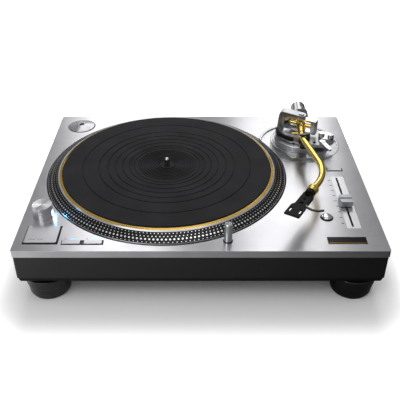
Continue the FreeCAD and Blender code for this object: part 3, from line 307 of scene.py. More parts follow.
def choose(piece: bpy.types.Object) -> None:
    """Make one piece the active and only selected one.

    Args:
        piece: The piece that the next operator acts on.
    """
    select_none()
    piece.select_set(True)
    bpy.context.view_layer.objects.active = piece


def named(name: str) -> bpy.types.Object:
    """Name the active piece and its mesh, and give it back.

    Args:
        name: The new name.

    Returns:
        The active piece.
    """
    piece = bpy.context.active_object
    piece.name = piece.data.name = name
    return piece


def apply(piece: bpy.types.Object, kind: str, **settings: Any) -> None:
    """Add a modifier with its settings and apply it.

    Args:
        piece: The piece to change.
        kind: The modifier's type.
        **settings: The modifier's properties.
    """
    choose(piece)
    modifier = piece.modifiers.new(kind.lower(), kind)
    for name, setting in settings.items():
        setattr(modifier, name, setting)
    bpy.ops.object.modifier_apply(modifier=modifier.name)


def smooth(piece: bpy.types.Object, degrees: float = 35) -> bpy.types.Object:
    """Shade a piece smooth below an angle, with its flat faces kept flat.

    Args:
        piece: The piece to shade.
        degrees: Edges sharper than this stay sharp.

    Returns:
        The same piece.
    """
    choose(piece)
    bpy.ops.object.shade_smooth_by_angle(angle=math.radians(degrees))
    apply(piece, "WEIGHTED_NORMAL", keep_sharp=True, weight=80)
    return piece


def bevel(piece: bpy.types.Object, width_mm: float, segments: int = 2,
          degrees: float = 40) -> bpy.types.Object:
    """Round a piece's sharp edges.

    Args:
        piece: The piece to change.
        width_mm: Width of the rounding.
        segments: Number of faces across it.
        degrees: Edges sharper than this are rounded.

    Returns:
        The same piece.
    """
    apply(piece, "BEVEL", width=width_mm * MM, segments=segments,
          limit_method="ANGLE", angle_limit=math.radians(degrees), use_clamp_overlap=True)
    return piece


def deck(x_mm: float, y_mm: float, z_mm: float) -> Vector:
    """Point of the frame from millimetres about the deck's top."""
    return Vector((x_mm * MM, y_mm * MM, (z_mm + DECK_MM) * MM))


def start_line(name: str, first: Vector) -> bpy.types.Object:
    """Begin a piece as one vertex, in edit mode.

    Args:
        name: The piece's name.
        first: Where its first vertex stands.

    Returns:
        The new piece, still in edit mode with its vertex selected.
    """
    select_none()
    bpy.ops.mesh.primitive_plane_add(size=0.001, location=(0, 0, 0))
    piece = named(name)
    bpy.ops.object.mode_set(mode="EDIT")
    bpy.ops.mesh.select_mode(type="VERT")
    bpy.ops.mesh.select_all(action="SELECT")
    bpy.ops.mesh.merge(type="CENTER")
    bpy.ops.transform.translate(value=first)
    return piece


def draw_line(points: Sequence[Vector]) -> None:
    """Extrude the selected vertex through the points after the first.

    Args:
        points: The line's points, the first where the vertex stands.
    """
    for before, after in zip(points, points[1:]):
        bpy.ops.mesh.extrude_region_move(
            TRANSFORM_OT_translate={"value": tuple(after - before)})


def close_up() -> None:
    """Merge doubles, point the faces outwards and leave edit mode."""
    bpy.ops.mesh.select_all(action="SELECT")
    bpy.ops.mesh.remove_doubles(threshold=DRAWN_MERGE_M)
    bpy.ops.mesh.normals_make_consistent(inside=False)
    bpy.ops.object.mode_set(mode="OBJECT")


def lathe(name: str, profile_mm: Profile, centre_mm: Tuple[float, float],
          steps: int = 96, ring: bool = True) -> bpy.types.Object:
    """Turn a profile about an upright axis, as on a lathe.

    Args:
        name: The piece's name.
        profile_mm: Corners as (radius, height above the deck).
        centre_mm: The axis.
        steps: Faces round the axis.
        ring: Whether the profile closes on itself.

    Returns:
        The finished piece.
    """
    x, y = centre_mm
    points = [deck(x + r, y, z) for r, z in profile_mm]
    if ring:
        points.append(points[0])
    piece = start_line(name, points[0])
    draw_line(points)
    bpy.ops.mesh.select_all(action="SELECT")
    bpy.ops.mesh.spin(steps=steps, angle=2 * math.pi, center=deck(x, y, 0),
                      axis=(0, 0, 1))
    close_up()
    return smooth(piece)


def block(name: str, low_mm: Point, high_mm: Point, round_mm: float = 0.3,
          segments: int = 2) -> bpy.types.Object:
    """Box between two corners, with its edges rounded.

    Args:
        name: The piece's name.
        low_mm: Lowest corner.
        high_mm: Highest corner.
        round_mm: Width of the rounded edges.
        segments: Faces across a rounded edge.

    Returns:
        The finished piece.
    """
    select_none()
    low, high = deck(*low_mm), deck(*high_mm)
    bpy.ops.mesh.primitive_cube_add(size=1, location=(low + high) / 2, scale=high - low)
    piece = named(name)
    bpy.ops.object.transform_apply(location=True, rotation=True, scale=True)
    bevel(piece, round_mm, segments)
    return smooth(piece, 50)


def turn_about(piece: bpy.types.Object, point: Vector, degrees: float,
               axis: str = "Z") -> bpy.types.Object:
    """Turn a piece's mesh about an axis through a point.

    Args:
        piece: The piece to turn.
        point: A point on the axis.
        degrees: The turn, anticlockwise as seen from the axis's end.
        axis: X, Y or Z.

    Returns:
        The same piece.
    """
    spin = (Matrix.Translation(point) @ Matrix.Rotation(math.radians(degrees), 4, axis)
            @ Matrix.Translation(-point))
    piece.data.transform(spin)
    piece.data.update()
    return piece


def join(pieces: Sequence[bpy.types.Object], name: str) -> bpy.types.Object:
    """Join pieces of one finish into one.

    Args:
        pieces: The pieces, of which the first takes in the others.
        name: The name of the whole.

    Returns:
        The joined piece.
    """
    select_none()
    for piece in pieces:
        piece.select_set(True)
    bpy.context.view_layer.objects.active = pieces[0]
    bpy.ops.object.join()
    return named(name)


def repeat_round(piece: bpy.types.Object, count: int, centre_mm: Tuple[float, float],
                 turn: Optional[float] = None) -> bpy.types.Object:
    """Repeat a piece round an upright axis.

    Args:
        piece: The piece that is modelled once.
        count: Number of copies, the first included.
        centre_mm: The axis.
        turn: Degrees from one copy to the next, or a full circle shared out.

    Returns:
        The piece with all its copies in one mesh.
    """
    step = math.radians(turn if turn is not None else 360 / count)
    centre = deck(*centre_mm, 0)
    guide = bpy.data.objects.new("guide", None)
    bpy.context.scene.collection.objects.link(guide)
    guide.matrix_world = (Matrix.Translation(centre) @ Matrix.Rotation(step, 4, "Z")
                          @ Matrix.Translation(-centre))
    bpy.context.view_layer.update()
    apply(piece, "ARRAY", count=count, use_relative_offset=False,
          use_object_offset=True, offset_object=guide)
    bpy.data.objects.remove(guide)
    return piece


def dress(piece: bpy.types.Object, finish: Finish, body: str, slot: str,
          *nodes: str) -> bpy.types.Object:
    """Give a new piece its finish and body, and hide the CAD nodes that it stands for.

    Args:
        piece: The new piece.
        finish: Its finish.
        body: The CAD body that it rides on.
        slot: The record's material slot; not used.
        *nodes: CAD nodes that it stands for.

    Returns:
        The same piece.
    """
    piece.data.materials.clear()
    piece.data.materials.append(finish.build())
    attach(piece, body)
    if nodes:
        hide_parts(*nodes)
    log.info("%s: %d faces", piece.name, len(piece.data.polygons))
    return piece


def paint(node: str, finish: Finish) -> None:
    """Give a CAD node that stays its finish.

    Args:
        node: The CAD node.
        finish: Its finish.
    """
    solid = bpy.data.objects[node]
    for slot in solid.material_slots:
        slot.material = finish.build()


def body_of(node: str) -> str:
    """Look up the body that a CAD node belongs to.

    Args:
        node: The CAD node.

    Returns:
        The body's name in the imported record.
    """
    bodies = FRAME["record"]["behaviour"]["bodies"]
    return next(body for body, members in bodies.items() if node in members)


def refine(node: str, finish: Finish, slot: str, round_mm: float = 0.25,
           degrees: float = 40, segments: int = 2) -> bpy.types.Object:
    """Copy a CAD solid, merge its loose triangles and round its sharp edges.

    Args:
        node: The CAD node, which the copy replaces.
        finish: The finish of the piece.
        slot: The record's material slot; passed on to dress, which does not use it.
        round_mm: Width of the rounded edges, or 0 to leave them.
        degrees: Edges sharper than this are rounded.
        segments: Faces across a rounded edge.

    Returns:
        The finished piece.
    """
    choose(bpy.data.objects[node])
    bpy.ops.object.duplicate()
    piece = named("fine_" + node)
    for key in list(piece.keys()):
        del piece[key]
    piece.parent = None
    piece.matrix_world = Matrix.Identity(4)
    bpy.ops.object.mode_set(mode="EDIT")
    bpy.ops.mesh.select_all(action="SELECT")
    bpy.ops.mesh.remove_doubles(threshold=SOLID_MERGE_M)
    bpy.ops.mesh.dissolve_limited(angle_limit=math.radians(FLAT_DEGREES))
    bpy.ops.object.mode_set(mode="OBJECT")
    if round_mm:
        apply(piece, "BEVEL", width=round_mm * MM, segments=segments, limit_method="ANGLE",
              angle_limit=math.radians(degrees), use_clamp_overlap=True,
              harden_normals=False)
    smooth(piece, 32)
    return dress(piece, finish, body_of(node), slot, node)


def label(name: str, words: str, size_mm: float, place_mm: Point,
          turn_degrees: float = 0.0) -> bpy.types.Object:
    """Print generic lettering as thin raised letters.

    Args:
        name: The piece's name.
        words: What it says.
        size_mm: Height of a capital letter, about.
        place_mm: Middle of the words, on the surface.
        turn_degrees: Turn about the upright axis.

    Returns:
        The letters as a mesh.
    """
    select_none()
    bpy.ops.object.text_add(location=(0, 0, 0))
    piece = bpy.context.active_object
    piece.data.body = words
    piece.data.size = size_mm * FONT_PER_CAPITAL * MM
    piece.data.align_x = "CENTER"
    piece.data.align_y = "CENTER"
    piece.data.extrude = INK_MM * MM
    bpy.ops.object.convert(target="MESH")
    piece = named(name)
    piece.data.transform(Matrix.Translation(deck(*place_mm))
                         @ Matrix.Rotation(math.radians(turn_degrees), 4, "Z"))
    return piece


def copy_to(piece: bpy.types.Object, name: str, shift_mm: Point) -> bpy.types.Object:
    """Copy a piece with a mesh of its own, moved by a distance.

    Args:
        piece: The piece to copy.
        name: The copy's name.
        shift_mm: How far the copy is moved.

    Returns:
        The copy.
    """
    choose(piece)
    bpy.ops.object.duplicate()
    twin = named(name)
    twin.data.transform(Matrix.Translation(Vector(shift_mm) * MM))
    return twin


def laid(piece: bpy.types.Object, start_mm: Point, direction: float) -> bpy.types.Object:
    """Lay a piece that was turned about the deck's middle along a level axis.

    Args:
        piece: Turned about the upright axis at the deck's middle, from z = 0 up.
        start_mm: Where that axis starts.
        direction: Degrees from straight ahead (-Y), positive towards +X.

    Returns:
        The same piece, with its own +Z now along the direction.
    """
    centre = deck(0, 0, 0)
    turn = math.radians(direction)
    ahead = Vector((math.sin(turn), -math.cos(turn), 0))
    across = Vector((0, 0, 1)).cross(ahead)
    frame = Matrix((across, Vector((0, 0, 1)), ahead)).transposed().to_4x4()
    piece.data.transform(Matrix.Translation(deck(*start_mm)) @ frame
                         @ Matrix.Translation(-centre))
    piece.data.update()
    return piece


# Finishes of the real surfaces, each with what it gives the eye.

# Brushed aluminium, clear anodised: long streaks and a highlight drawn out across
# them. Real lines are under 0.1 mm apart, and are drawn at 0.7 mm so that they show.
HAIRLINE = Finish("hairline_aluminium_deck", "#c4c4c7", 1.0, 0.3, Grain.HAIRLINE_X,
                  grain_mm=0.7, relief=0.12, spread=0.06, tint=0.05, stretch=0.75)
# Aluminium brushed front to back: small plates that catch the light differently from
# the deck. Their lines too are drawn coarser than real ones, so that they show.
BRIGHT_PLATE = Finish("satin_aluminium_plate", "#bdbdc0", 1.0, 0.34, Grain.HAIRLINE_Y,
                      grain_mm=0.6, relief=0.15, stretch=0.4)
# Die casting, fine blasted and silver: an even soft grey sheen with no streaks.
CAST_SILVER = Finish("fine_blasted_silver_casting", "#b6b7ba", 1.0, 0.34,
                     grain_mm=0.25, relief=0.08, spread=0.06)
# Steel, polished and chromed: sharp reflections of what stands round it.
POLISHED = Finish("polished_chromed_steel", "#c9cacc", 1.0, 0.12,
                  grain_mm=0.6, relief=0.02, spread=0.03, tint=0.02)
# Aluminium faced on a lathe: fine rings that draw the highlight out from the middle.
TURNED = Finish("turned_aluminium", "#d2d2d5", 1.0, 0.3, Grain.TURNED,
                grain_mm=0.12, relief=0.25, tint=0.05, stretch=0.95)
# Aluminium tube, polished and anodised gold: warm, with narrow bright highlights.
GOLD = Finish("gold_anodised_aluminium", "#eccb66", 1.0, 0.19, relief=0.03, spread=0.04,
              second="#f3d679")
# Brass faced on a lathe: a thin yellow ring that glints.
BRASS = replace(TURNED, name="turned_brass_rim", colour="#d9b562", roughness=0.24,
                centre_mm=SPINDLE_MM, grain_mm=0.35, relief=0.2, stretch=0.5)
# Moulded black body with a fine texture: dark, with a dull broad sheen.
SATIN_BLACK = Finish("satin_black_moulded_body", "#171719", 0.0, 0.4, grain_mm=0.35,
                     relief=0.08, spread=0.06, tint=0.08)
# Moulded rubber: matt, and it hardly takes a highlight.
RUBBER = Finish("matt_black_rubber", "#141415", 0.0, 0.6, grain_mm=0.4, relief=0.12,
                spread=0.08, tint=0.1, shine=0.25)
# Pressed rubber mat, a little dusty: a flat dark grey, so that its grooves show.
MAT_RUBBER = Finish("ribbed_rubber_mat", "#232325", 0.0, 0.62, grain_mm=0.45, relief=0.15,
                    spread=0.06, tint=0.08, second="#29292b", shine=0.06)
# Moulded black plastic, glossy: small clear highlights on near black.
GLOSS_BLACK = Finish("glossy_black_plastic", "#111113", 0.0, 0.2, grain_mm=0.5,
                     relief=0.02, spread=0.03, tint=0.06, coat=0.3, shine=0.4)
# Aluminium, blasted and anodised black: soft black without a shine.
BLACK_ANODISED = Finish("black_anodised_aluminium", "#1b1a1a", 0.0, 0.5, grain_mm=0.2,
                        relief=0.08, tint=0.08, shine=0.06)
# Black lacquer on the platter's slope: dark, so that the dots stand out.
STROBE_BLACK = Finish("satin_black_strobe_ring", "#0d0d0f", 0.0, 0.3, relief=0.03,
                      spread=0.04, tint=0.08, shine=0.25)
# Dots cut through the lacquer to bare aluminium: the brightest points of the rim.
DOT_SILVER = Finish("bright_cut_dot", "#f2f3f3", 1.0, 0.3, grain_mm=0.4, relief=0.02,
                    spread=0.04, tint=0.02)
# Screen-printed ink: flat dark grey.
BLACK_INK = Finish("printed_black_ink", "#1c1c1e", 0.0, 0.55, grain_mm=0.2, relief=0.02,
                   tint=0.05, shine=0.2)
# Hot-stamped foil, and gold plating where it is used on metal: a yellow glint.
GOLD_INK = Finish("gold_foil_print", "#c79a3c", 1.0, 0.3, relief=0.03)
# Steel, zinc plated: cool grey with a cloudy sheen.
ZINC = Finish("zinc_plated_steel", "#a9adb0", 1.0, 0.35, grain_mm=0.5, spread=0.08,
              tint=0.06)
# Wound copper wire in enamel: red-brown, with fine lines for its turns.
COPPER = Finish("enamelled_copper_winding", "#a5572a", 1.0, 0.35, Grain.TURNED,
                grain_mm=0.5, relief=0.4, spread=0.08, tint=0.1)
# Circuit board under a green solder mask: dull green with mottled light.
BOARD_GREEN = Finish("solder_masked_board", "#1e5a34", 0.0, 0.35, grain_mm=1.5,
                     spread=0.08, tint=0.12)
# Sintered ferrite: dull charcoal grey.
FERRITE = Finish("sintered_ferrite", "#3a3a3d", 0.0, 0.6, relief=0.15, spread=0.08,
                 tint=0.1)
# Clear window with the lamp lit behind it: a pale blue-white glow.
LAMP_GLASS = Finish("lit_lamp_window", "#c9ecff", 0.0, 0.2, grain_mm=1.0, relief=0.01,
                    spread=0.02, tint=0.03, glow=2.2)
# Diffusing lens lit in blue: an even bright blue.
BLUE_LAMP = Finish("lit_blue_indicator", "#6fb4ff", 0.0, 0.3, grain_mm=0.5, relief=0.01,
                   spread=0.02, tint=0.03, glow=1.2)


def soft_lamp(name: str, place_m: Point, aim_m: Point, size_m: Tuple[float, float],
              watts: float, colour: str = "#ffffff", mirrored: bool = True,
              lean_degrees: float = 0.0) -> None:
    """Add one soft rectangular lamp.

    Args:
        name: The lamp's name.
        place_m: Where it hangs.
        aim_m: The point that it faces.
        size_m: Width and height.
        watts: Its power.
        colour: sRGB hex of its light.
        mirrored: Whether glossy surfaces show it.
        lean_degrees: How far its top leans to the right.
    """
    select_none()
    bpy.ops.object.light_add(type="AREA", location=place_m)
    lamp = bpy.context.active_object
    lamp.name = name
    way = Vector(aim_m) - Vector(place_m)
    lamp.rotation_euler = way.to_track_quat("-Z", "Y").to_euler()
    lamp.rotation_euler.rotate_axis("Z", math.radians(lean_degrees))
    lamp.data.shape = "RECTANGLE"
    lamp.data.size, lamp.data.size_y = size_m
    lamp.data.energy = watts
    lamp.data.color = linear(colour)[:3]
    lamp.visible_glossy = mirrored


# Sub-assemblies.
@dataclass
class Studio:
    """Plain pale floor, soft lamps and the camera at the photograph's angle."""

    camera_m: Point = (-0.00368, -0.73424, 0.54109)
    pitch_degrees: float = 34.634
    yaw_degrees: float = 0.249
    roll_degrees: float = 0.156
    lens_mm: float = 54.85
    sensor_mm: float = 36
    nearest_m: float = 0.01
    # Strength of the world for every ray but the camera's.
    horizon_level: float = 0.17
    zenith_level: float = 0.42
    floor_m: float = 8
    paper_white: str = "#ffffff"
    paper_fibre: str = "#fbfbfb"
    fibres_per_metre: float = 30.0
    # Colours of the floor for every ray but the camera's, from left to right.
    floor_left: str = "#f4f4f4"
    floor_right: str = "#262628"
    floor_reach_m: float = 0.3
    # Glow of the paper that the camera sees, near the deck and away from it. Kept low near the
    # deck, it leaves a painted shadow round the footprint besides the cast one.
    near_lift: float = 0.04
    paper_lift: float = 0.8
    footprint_m: Point = (0.2, 0.165, 0.0)
    shadow_m: Tuple[float, float] = (0.035, 0.1)

    def build(self) -> None:
        """Set up the camera, the world, the lamps and the floor."""
        bpy.context.scene.view_settings.view_transform = "Standard"
        self._camera()
        self._world()
        self._lamps()
        self._floor()

    def _camera(self) -> None:
        """Camera solved from the deck's corners and the round pieces."""
        select_none()
        tilt = Matrix.Rotation(math.radians(90 - self.pitch_degrees), 4, "X")
        turn = Matrix.Rotation(math.radians(-self.yaw_degrees), 4, "Z")
        roll = Matrix.Rotation(math.radians(self.roll_degrees), 4, "Z")
        bpy.ops.object.camera_add(location=self.camera_m)
        camera = bpy.context.active_object
        camera.name = "camera"
        camera.matrix_world = Matrix.Translation(self.camera_m) @ turn @ tilt @ roll
        camera.data.lens = self.lens_mm
        camera.data.sensor_width = self.sensor_mm
        camera.data.clip_start = self.nearest_m
        bpy.context.scene.camera = camera

    def _world(self) -> None:
        """Studio dark at its horizon and paler overhead, white to the camera."""
        world = bpy.data.worlds.new("studio")
        bpy.context.scene.world = world
        world.use_nodes = True
        tree = world.node_tree
        tree.nodes.clear()
        path = add(tree, "ShaderNodeLightPath")
        way = add(tree, "ShaderNodeSeparateXYZ", {
            "Vector": add(tree, "ShaderNodeTexCoord").outputs["Generated"]})
        level = add(tree, "ShaderNodeMapRange", {
            "Value": way.outputs["Z"], "From Min": 0.0, "From Max": 1.0,
            "To Min": self.horizon_level, "To Max": self.zenith_level})
        plain = add(tree, "ShaderNodeBackground", {
            "Color": linear("#ffffff"), "Strength": level.outputs["Result"]})
        white = add(tree, "ShaderNodeBackground", {
            "Color": linear("#ffffff"), "Strength": 1.0})
        mixed = add(tree, "ShaderNodeMixShader", {
            0: path.outputs["Is Camera Ray"], 1: plain.outputs[0], 2: white.outputs[0]})
        add(tree, "ShaderNodeOutputWorld", {"Surface": mixed.outputs[0]})

    def _lamps(self) -> None:
        """Soft boxes that the brushed top mirrors, a key, and a lamp for the shadow.

        The lamp for the shadow hangs behind the deck. It lights the deck as well,
        but nothing glossy mirrors it.
        """
        soft_lamp("softbox_left", (-0.29, 1.2, 0.93), (-0.1, -0.1, 0.08), (0.38, 0.9), 2.6,
                  lean_degrees=-12)
        soft_lamp("softbox_right", (0.33, 1.2, 0.93), (0.12, -0.1, 0.08), (0.36, 0.9), 2.25,
                  lean_degrees=8)
        soft_lamp("key", (-0.7, -0.9, 1.3), (0.0, 0.0, 0.05), (0.8, 0.8), 6.0)
        soft_lamp("overhead", (0.1, 0.0, 1.6), (0.0, 0.0, 0.0), (0.9, 0.9), 4.0)
        soft_lamp("shadow_light", (0.0, 1.7, 1.7), (0.0, 0.1, 0.0), (1.5, 0.6), 20.0,
                  mirrored=False)

    def _floor(self) -> None:
        """White paper with the deck's soft shadow, partly cast by the lamps and partly painted by
        the paper's glow.

        Only the camera sees it white. Every other ray, a reflection's too, meets
        a colour that runs from pale on the left to dark on the right.
        """
        select_none()
        bpy.ops.mesh.primitive_plane_add(size=self.floor_m, location=(0, 0, 0))
        floor = named("floor")
        material = bpy.data.materials.new("white_paper_sweep")
        material.use_nodes = True
        tree = material.node_tree
        tree.nodes.clear()
        seen = add(tree, "ShaderNodeLightPath").outputs["Is Camera Ray"]
        place = add(tree, "ShaderNodeTexCoord").outputs["Object"]
        across = add(tree, "ShaderNodeMapRange", {
            "Value": add(tree, "ShaderNodeSeparateXYZ", {"Vector": place}).outputs["X"],
            "From Min": -self.floor_reach_m, "From Max": self.floor_reach_m})
        paper = add(tree, "ShaderNodeTexNoise", {
            "Vector": place, "Scale": self.fibres_per_metre})
        bounced = add(tree, "ShaderNodeMix", {
            "Factor": across.outputs["Result"], 6: linear(self.floor_left),
            7: linear(self.floor_right)}, data_type="RGBA")
        white = add(tree, "ShaderNodeMix", {
            "Factor": paper.outputs["Fac"], 6: linear(self.paper_white),
            7: linear(self.paper_fibre)}, data_type="RGBA")
        shade = add(tree, "ShaderNodeMix", {
            "Factor": seen, 6: bounced.outputs[2], 7: white.outputs[2]}, data_type="RGBA")
        diffuse = add(tree, "ShaderNodeBsdfDiffuse", {"Color": shade.outputs[2]})
        strength = add(tree, "ShaderNodeMath", {0: seen, 1: self._lift(tree, place)},
                       operation="MULTIPLY")
        lift = add(tree, "ShaderNodeEmission", {
            "Color": linear("#ffffff"), "Strength": strength.outputs[0]})
        total = add(tree, "ShaderNodeAddShader", {0: diffuse.outputs[0], 1: lift.outputs[0]})
        add(tree, "ShaderNodeOutputMaterial", {"Surface": total.outputs[0]})
        floor.data.materials.append(material)

    def _lift(self, tree: bpy.types.NodeTree,
              place: bpy.types.NodeSocket) -> bpy.types.NodeSocket:
        """Glow of the paper, which begins a little way from the deck.

        Near the deck the glow stays low, so the paper there is darker even where light falls on
        it: a painted shadow on top of the cast one. Further out the glow fades the shadow into the
        white paper, so the shadow's outer edge is painted too.

        Args:
            tree: The floor's node tree.
            place: Socket with the place on the floor.

        Returns:
            Socket with the strength of the glow.
        """
        size = add(tree, "ShaderNodeVectorMath", {0: place}, operation="ABSOLUTE")
        past = add(tree, "ShaderNodeVectorMath", {
            0: size.outputs[0], 1: self.footprint_m}, operation="SUBTRACT")
        outside = add(tree, "ShaderNodeVectorMath", {
            0: past.outputs[0], 1: (0.0, 0.0, 0.0)}, operation="MAXIMUM")
        away = add(tree, "ShaderNodeVectorMath", {0: outside.outputs[0]}, operation="LENGTH")
        # Low near the footprint and full further out: this paints the shadow's reach.
        lift = add(tree, "ShaderNodeMapRange", {
            "Value": away.outputs["Value"], "From Min": self.shadow_m[0],
            "From Max": self.shadow_m[1], "To Min": self.near_lift, "To Max": self.paper_lift},
            interpolation_type="SMOOTHSTEP")
        return lift.outputs["Result"]


@dataclass
class PlatterAssembly:
    """Turning platter: dotted slope, brass rim, ribbed mat and record pin."""

    radius_mm: float = 166.3
    slope_outer_mm: float = 166.0
    slope_inner_mm: float = 152.0
    slope_low_mm: float = 0.8
    slope_high_mm: float = 8.2
    mat_mm: float = 145.8
    mat_top_mm: float = 12.1
    pin_mm: float = 3.575
    grooves_mm: Tuple[float, ...] = (117.7, 95.4, 83.3, 72.5, 62.5, 53.3, 46.3, 40.3)
    # Half the width, and the depth, of those single grooves.
    groove_mm: Tuple[float, float] = (0.7, 0.9)
    # The close grooves of the middle are drawn coarser than a real mat's, because
    # finer ones don't show in the render. They lie between the two radii.
    fine_mm: float = 3.6
    fine_groove_mm: Tuple[float, float] = (0.95, 1.1)
    fine_outer_mm: float = 40.0
    fine_inner_mm: float = 13.0
    groove_slope_mm: float = 0.15
    # The middle of the mat lies a little lower, under a record's label.
    label_mm: float = 51.0
    label_drop_mm: float = 0.5
    bore_mm: float = 3.8
    # Rows of dots: share of the way up the slope, radius in mm, and count.
    rows: Tuple[Tuple[float, float, int], ...] = (
        (0.12, 0.62, 194), (0.37, 1.25, 200), (0.62, 0.72, 206), (0.87, 0.62, 212))
    dot_mm: float = 0.12
    dot_faces: int = 8
    # A dot's edge as a share of its radius, and how far its middle stands up.
    dot_edge: float = 0.1
    dot_rise_mm: float = 0.02
    steps: int = 224

    def build(self) -> None:
        """Model and dress every piece of the platter."""
        self._casting()
        self._strobe_ring()
        self._dots()
        self._rim()
        self._mat()
        self._pin()
        paint("rotor_yoke", ZINC)
        paint("rotor_magnet", FERRITE)

    def _casting(self) -> None:
        """Silver platter: its lip and the bevel above the dots show."""
        # Machined casting: rings that glint round the whole rim.
        metal = replace(TURNED, name="turned_platter_metal", centre_mm=SPINDLE_MM,
                        grain_mm=0.3)
        piece = lathe("platter_casting", [
            (5.0, -4), (85, -4), (88, 2), (152, 1), (156, -4), (162.3, -4),
            (self.radius_mm, -2.5), (self.radius_mm, self.slope_low_mm - 0.15),
            (self.radius_mm - 0.15, self.slope_low_mm),
            (self.slope_outer_mm, self.slope_low_mm), (165.5, -0.1), (151.5, 7.3),
            (152, 8.2), (150.2, 9.4), (150, 9.3), (150, 7.6), (5.0, 7.6)],
            SPINDLE_MM, self.steps)
        dress(piece, metal, "platter_assembly", "platter_metal", "platter")

    def _strobe_ring(self) -> None:
        """Black sloping ring that carries the dots."""
        piece = lathe("strobe_cone", [
            (self.slope_outer_mm, self.slope_low_mm), (self.slope_inner_mm, self.slope_high_mm),
            (self.slope_inner_mm - 0.47, self.slope_high_mm - 0.88),
            (self.slope_outer_mm - 0.47, self.slope_low_mm - 0.88)], SPINDLE_MM, self.steps)
        dress(piece, STROBE_BLACK, "platter_assembly", "strobe_black", "strobe_band")

    def _dots(self) -> None:
        """Four rows of bright dots, the second from outside the largest."""
        run = self.slope_outer_mm - self.slope_inner_mm
        rise = self.slope_high_mm - self.slope_low_mm
        lean = math.degrees(math.atan2(rise, run))
        x, y = SPINDLE_MM
        pieces = []
        for index, (share, radius, count) in enumerate(self.rows):
            select_none()
            out = self.slope_outer_mm - share * run
            up = self.slope_low_mm + share * rise
            bpy.ops.mesh.primitive_cylinder_add(
                vertices=self.dot_faces, radius=radius * MM, depth=self.dot_mm * MM,
                location=(0, 0, 0), end_fill_type="NGON")
            dot = named("dots_%d" % index)
            bpy.ops.object.mode_set(mode="EDIT")
            bpy.ops.mesh.select_all(action="DESELECT")
            bpy.ops.object.mode_set(mode="OBJECT")
            for face in dot.data.polygons:
                face.select = face.normal.z > 0.9
            bpy.ops.object.mode_set(mode="EDIT")
            bpy.ops.mesh.select_mode(type="FACE")
            bpy.ops.mesh.inset(thickness=self.dot_edge * radius * MM,
                               depth=self.dot_rise_mm * MM)
            bpy.ops.object.mode_set(mode="OBJECT")
            dot.data.transform(Matrix.Translation(deck(x + out, y, up + self.dot_mm / 4))
                               @ Matrix.Rotation(math.radians(lean), 4, "Y"))
            pieces.append(repeat_round(dot, count, SPINDLE_MM))
        dots = join(pieces, "strobe_dots")
        dress(dots, DOT_SILVER, "platter_assembly", "platter_metal")

    def _rim(self) -> None:
        """Brass rim between the mat and the silver bevel."""
        piece = lathe("brass_rim", [
            (self.bore_mm, 7.6), (150, 7.6), (150, 9.3), (149.7, 9.5), (146.5, 10.3),
            (146.3, 10.2), (145.9, 9.1), (self.bore_mm, 9.1)], SPINDLE_MM, self.steps)
        dress(piece, BRASS, "platter_assembly", "brass_sheet", "brass_plate")

    def _mat(self) -> None:
        """Rubber mat with single grooves outside and close ones inside."""
        top = self.mat_top_mm
        low = top - self.label_drop_mm
        profile = [(self.bore_mm, 9.1), (self.mat_mm, 9.1), (self.mat_mm, top - 1.0),
                   (self.mat_mm - 0.35, top - 0.3), (self.mat_mm - 1.2, top)]
        radii = list(self.grooves_mm)
        while radii[-1] > self.fine_inner_mm:
            radii.append(radii[-1] - self.fine_mm)
        for radius in radii:
            if radius < self.label_mm <= profile[-1][0]:
                profile += [(self.label_mm, top), (self.label_mm - 0.5, low)]
            level = top if radius > self.label_mm else low
            half, deep = self.groove_mm if radius > self.fine_outer_mm else self.fine_groove_mm
            profile += [(radius + half, level),
                        (radius + half - self.groove_slope_mm, level - deep),
                        (radius - half + self.groove_slope_mm, level - deep),
                        (radius - half, level)]
        profile.append((self.bore_mm, low))
        piece = lathe("ribbed_mat", profile, SPINDLE_MM, self.steps)
        smooth(piece, 12)
        dress(piece, MAT_RUBBER, "platter_assembly", "mat_rubber", "mat")

    def _pin(self) -> None:
        """Record pin with its rounded tip, on the spindle's shaft."""
        pin = self.pin_mm
        piece = lathe("record_pin", [
            (0, -39.4), (4, -39.4), (5, -38.4), (5, 7.6), (pin - 0.2, 7.6),
            (pin - 0.2, 12.3), (pin, 12.3), (pin, 19.6), (pin - 0.25, 20.6),
            (pin - 0.75, 21.6), (pin - 1.6, 22.4), (pin - 2.5, 22.75), (0, 22.8)],
            SPINDLE_MM, 48)
        dress(piece, POLISHED, "platter_assembly", "spindle_steel", "spindle_shaft")


